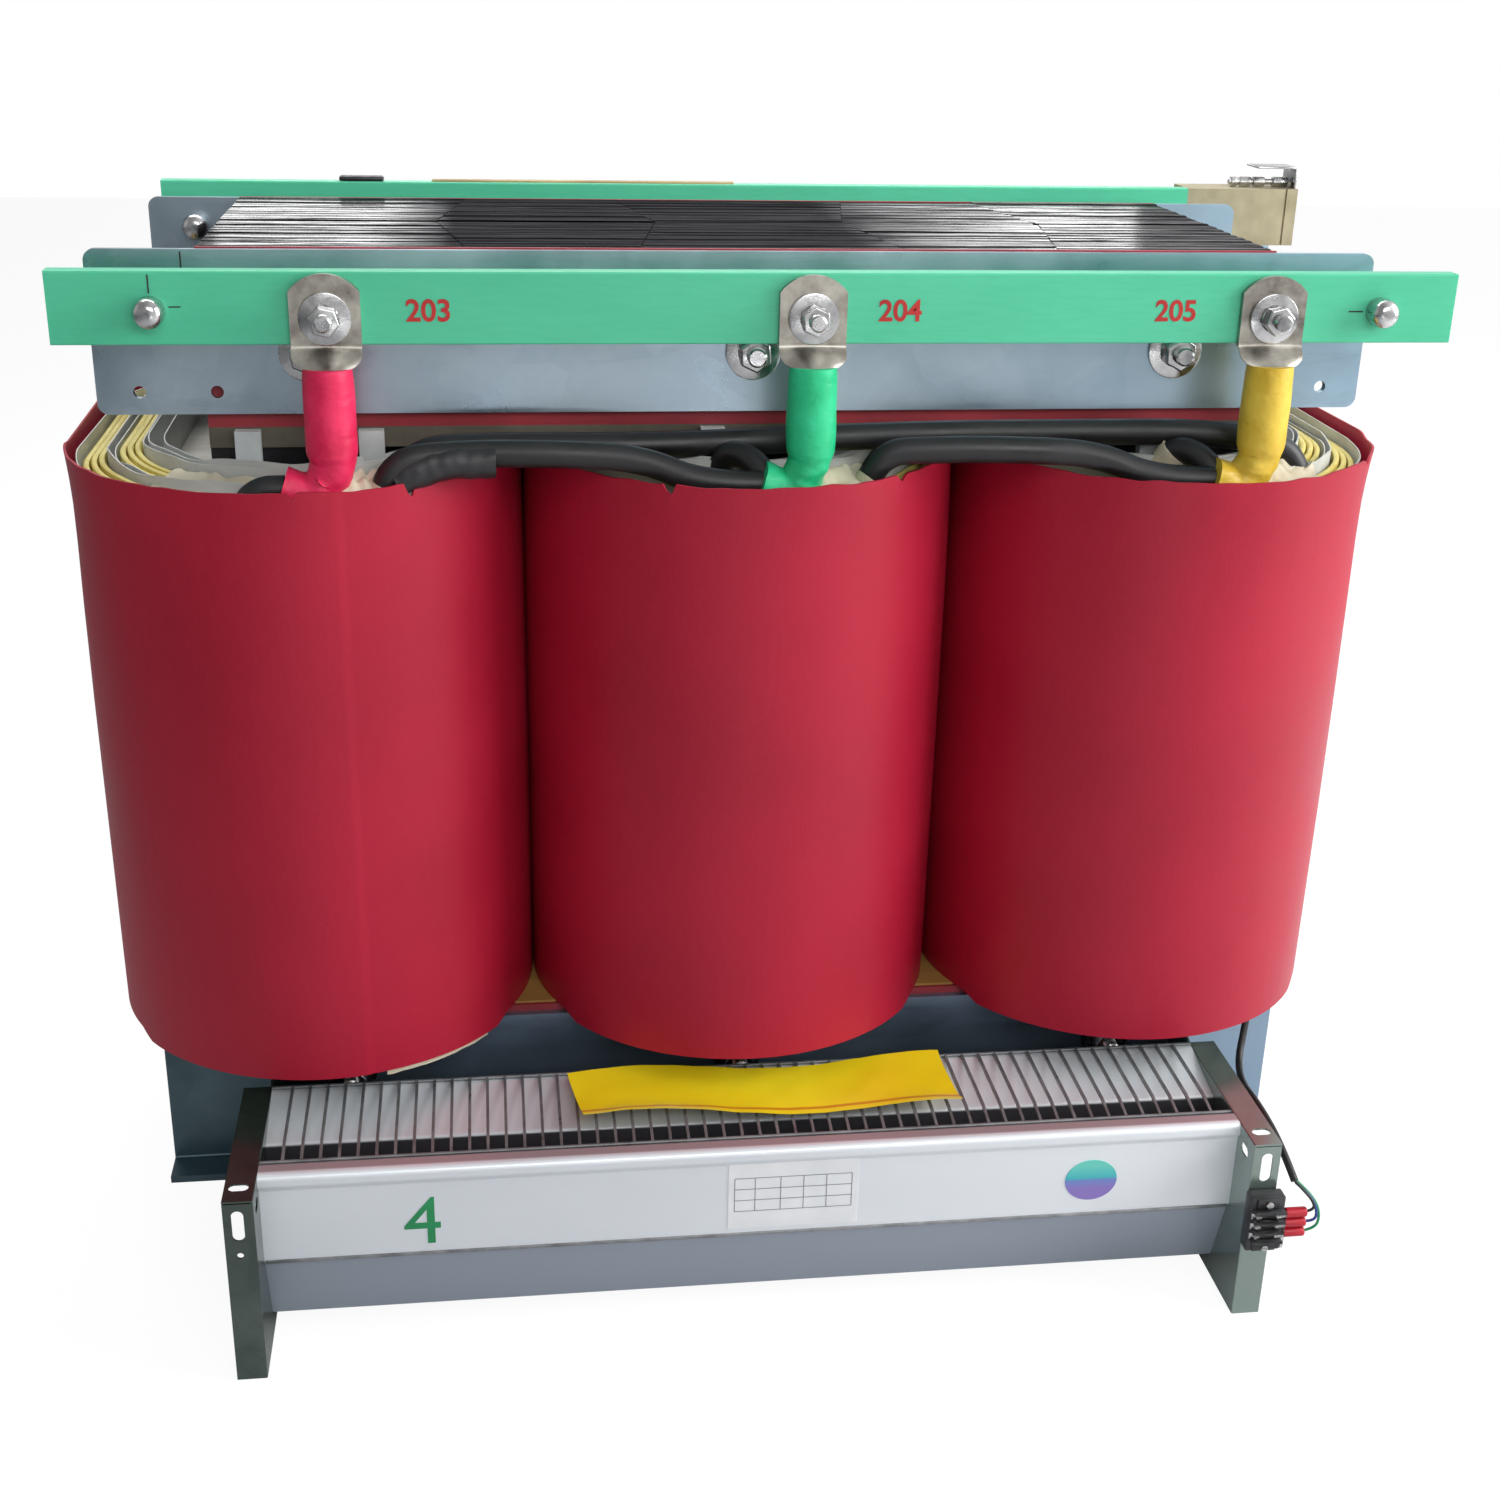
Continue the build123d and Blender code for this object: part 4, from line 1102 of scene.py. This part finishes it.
def fan_blocks():
    """Terminal block, its plates, screws and clear cover, and the forks on the wires."""
    body = slab("body", (0.3785, 0.4065), (-0.3660, -0.3535), (0.0705, 0.1195), 0.0012)
    ridges = [slab(f"wall_{k}", (0.3800, 0.4050), (-0.3735, -0.3655), (z, z + 0.0022), 0.0005)
              for k, z in enumerate((0.0808, 0.0898, 0.0988, 0.1078))]
    ears = [slab(f"ear_{k}", (0.3830, 0.4020), (-0.3680, -0.3655), (z, z + 0.0085), 0.0008)
            for k, z in enumerate((0.0712, 0.1105))]
    block = both_fans(joined("block", body, *ridges, *ears), "fan_blocks")
    settle(block, BLOCK_BLACK, 30,
           ["fan_front_terminal_block", "fan_rear_terminal_block"])
    plates = [slab(f"plate_{k}", (0.3790, 0.4062), (-0.3685, -0.3662), (z, z + 0.0055), 0.0005)
              for k, z in enumerate((0.0838, 0.0928, 0.1018))]
    screws = [cheese_screw(f"screw_{k}_{x}", x, -0.3695, z, 0.0024)
              for k, z in enumerate(FORK_HEIGHTS) for x in (0.3845, 0.4005)]
    screws += [cheese_screw(f"ear_screw_{z}", 0.3925, -0.3690, z, 0.003) for z in (0.0753, 0.1148)]
    metal = both_fans(joined("block_metal", *plates, *screws), "fan_block_metal")
    settle(metal, BRIGHT, 30)
    cover = slab("cover", (0.3805, 0.4045), (-0.3757, -0.3735), (0.0790, 0.1118), 0.0008)
    settle(both_fans(cover, "fan_block_covers"), CLEAR, 30)
    forks = []
    for k, z in enumerate(FORK_HEIGHTS):
        fork = begin(bpy.ops.mesh.primitive_cylinder_add, f"fork_{k}", radius=0.0041, depth=0.016,
                     vertices=20, location=(0.4155, -0.3655, z), rotation=(0, pi / 2, 0))
        shape(fork, "faces", facing(x=1), inset(0.0006), slide(x=0.001))
        shape(fork, "edges", sharp, round_off(0.0005))
        forks.append(fork)
    settle(both_fans(joined("forks", *forks), "fan_forks"), FORK_RED, 40)


BLOCK_BLACK = moulded("block_black", (58, 60, 62), (34, 35, 37), 0.4)
CLEAR = Finish("clear_cover", rough=0.04, Transmission_Weight=1.0, IOR=1.08).made
FORK_RED = moulded("fork_red", (206, 40, 58), (176, 22, 40), 0.35)
fan_blocks()


# Fan wires

FAN_CABLE = ((0.433, -0.190, 0.198), (0.429, -0.197, 0.172), (0.420, -0.212, 0.150), (0.412, -0.243, 0.147),
             (0.411, -0.278, 0.151), (0.412, -0.316, 0.147), (0.414, -0.344, 0.136), (0.416, -0.356, 0.127))
FAN_CORES = {
    "black": ((0.4152, -0.3554, 0.1280), (0.4212, -0.362, 0.1225), (0.428, -0.3665, 0.1155),
              (0.4305, -0.368, 0.1075), (0.4235, -0.3655, 0.1045)),
    "blue": ((0.4164, -0.3570, 0.1262), (0.4228, -0.361, 0.1212), (0.430, -0.365, 0.1135),
             (0.433, -0.3675, 0.103), (0.4305, -0.368, 0.097), (0.4235, -0.3655, 0.0955)),
    "green": ((0.4172, -0.3550, 0.1274), (0.4242, -0.3595, 0.1215), (0.4325, -0.364, 0.112),
              (0.436, -0.3665, 0.100), (0.433, -0.368, 0.090), (0.4235, -0.3655, 0.0865)),
}
CORE_FINISH = {
    "black": LEAD, "blue": moulded("blue_core", (46, 74, 160), (34, 56, 130), 0.4),
    "green": moulded("green_core", (52, 160, 112), (38, 136, 92), 0.4),
}


def turned(points, turn):
    return [(turn * x, turn * y, z) for x, y, z in points]


for end, turn in (("front", 1), ("rear", -1)):
    line = turned(FAN_CABLE, turn)
    cable = settle(lead(f"fan_cable_{end}", line, 0.006), LEAD)
    for colour, points in FAN_CORES.items():
        line = turned(points, turn)
        core = settle(lead(f"fan_core_{colour}_{end}", line, 0.0022), CORE_FINISH[colour])


# Small pieces on the rear bar and its block

row = [disc("block_stud", 0.0025, 0.056, 0, 0.0004)]
row += [hex_nut(f"block_nut_{z}", 0.0085, high, z)
        for z, high in ((0.002, 0.005), (0.010, 0.010), (0.023, 0.010), (0.042, 0.013))]
stud = joined("block_stud", *row)
stud.data.transform(shift(0.484, 0.206, REAR_BAR_TOP + 0.0053) @ Matrix.Rotation(pi / 2, 4, "Y"))
settle(slab("rear_bar_strip", (-0.237, 0.026), (0.1925, 0.2030), (0.8186, 0.8204), 0.0004),
       STICK, 30)
settle(slab("rear_bar_clip", (-0.316, -0.278), (0.1910, 0.2030), (REAR_BAR_TOP, 0.8232), 0.0022, 3),
       MOTOR, 40)
bracket = slab("bracket", (0.507, 0.5445), (0.194, 0.224), (0.8364, 0.8380), 0.0005)
upright = slab("bracket_upright", (0.5428, 0.5446), (0.194, 0.224), (REAR_BAR_TOP, 0.8378), 0.0005)
settle(joined("block_fittings", stud, bracket, upright), BRIGHT, 30)
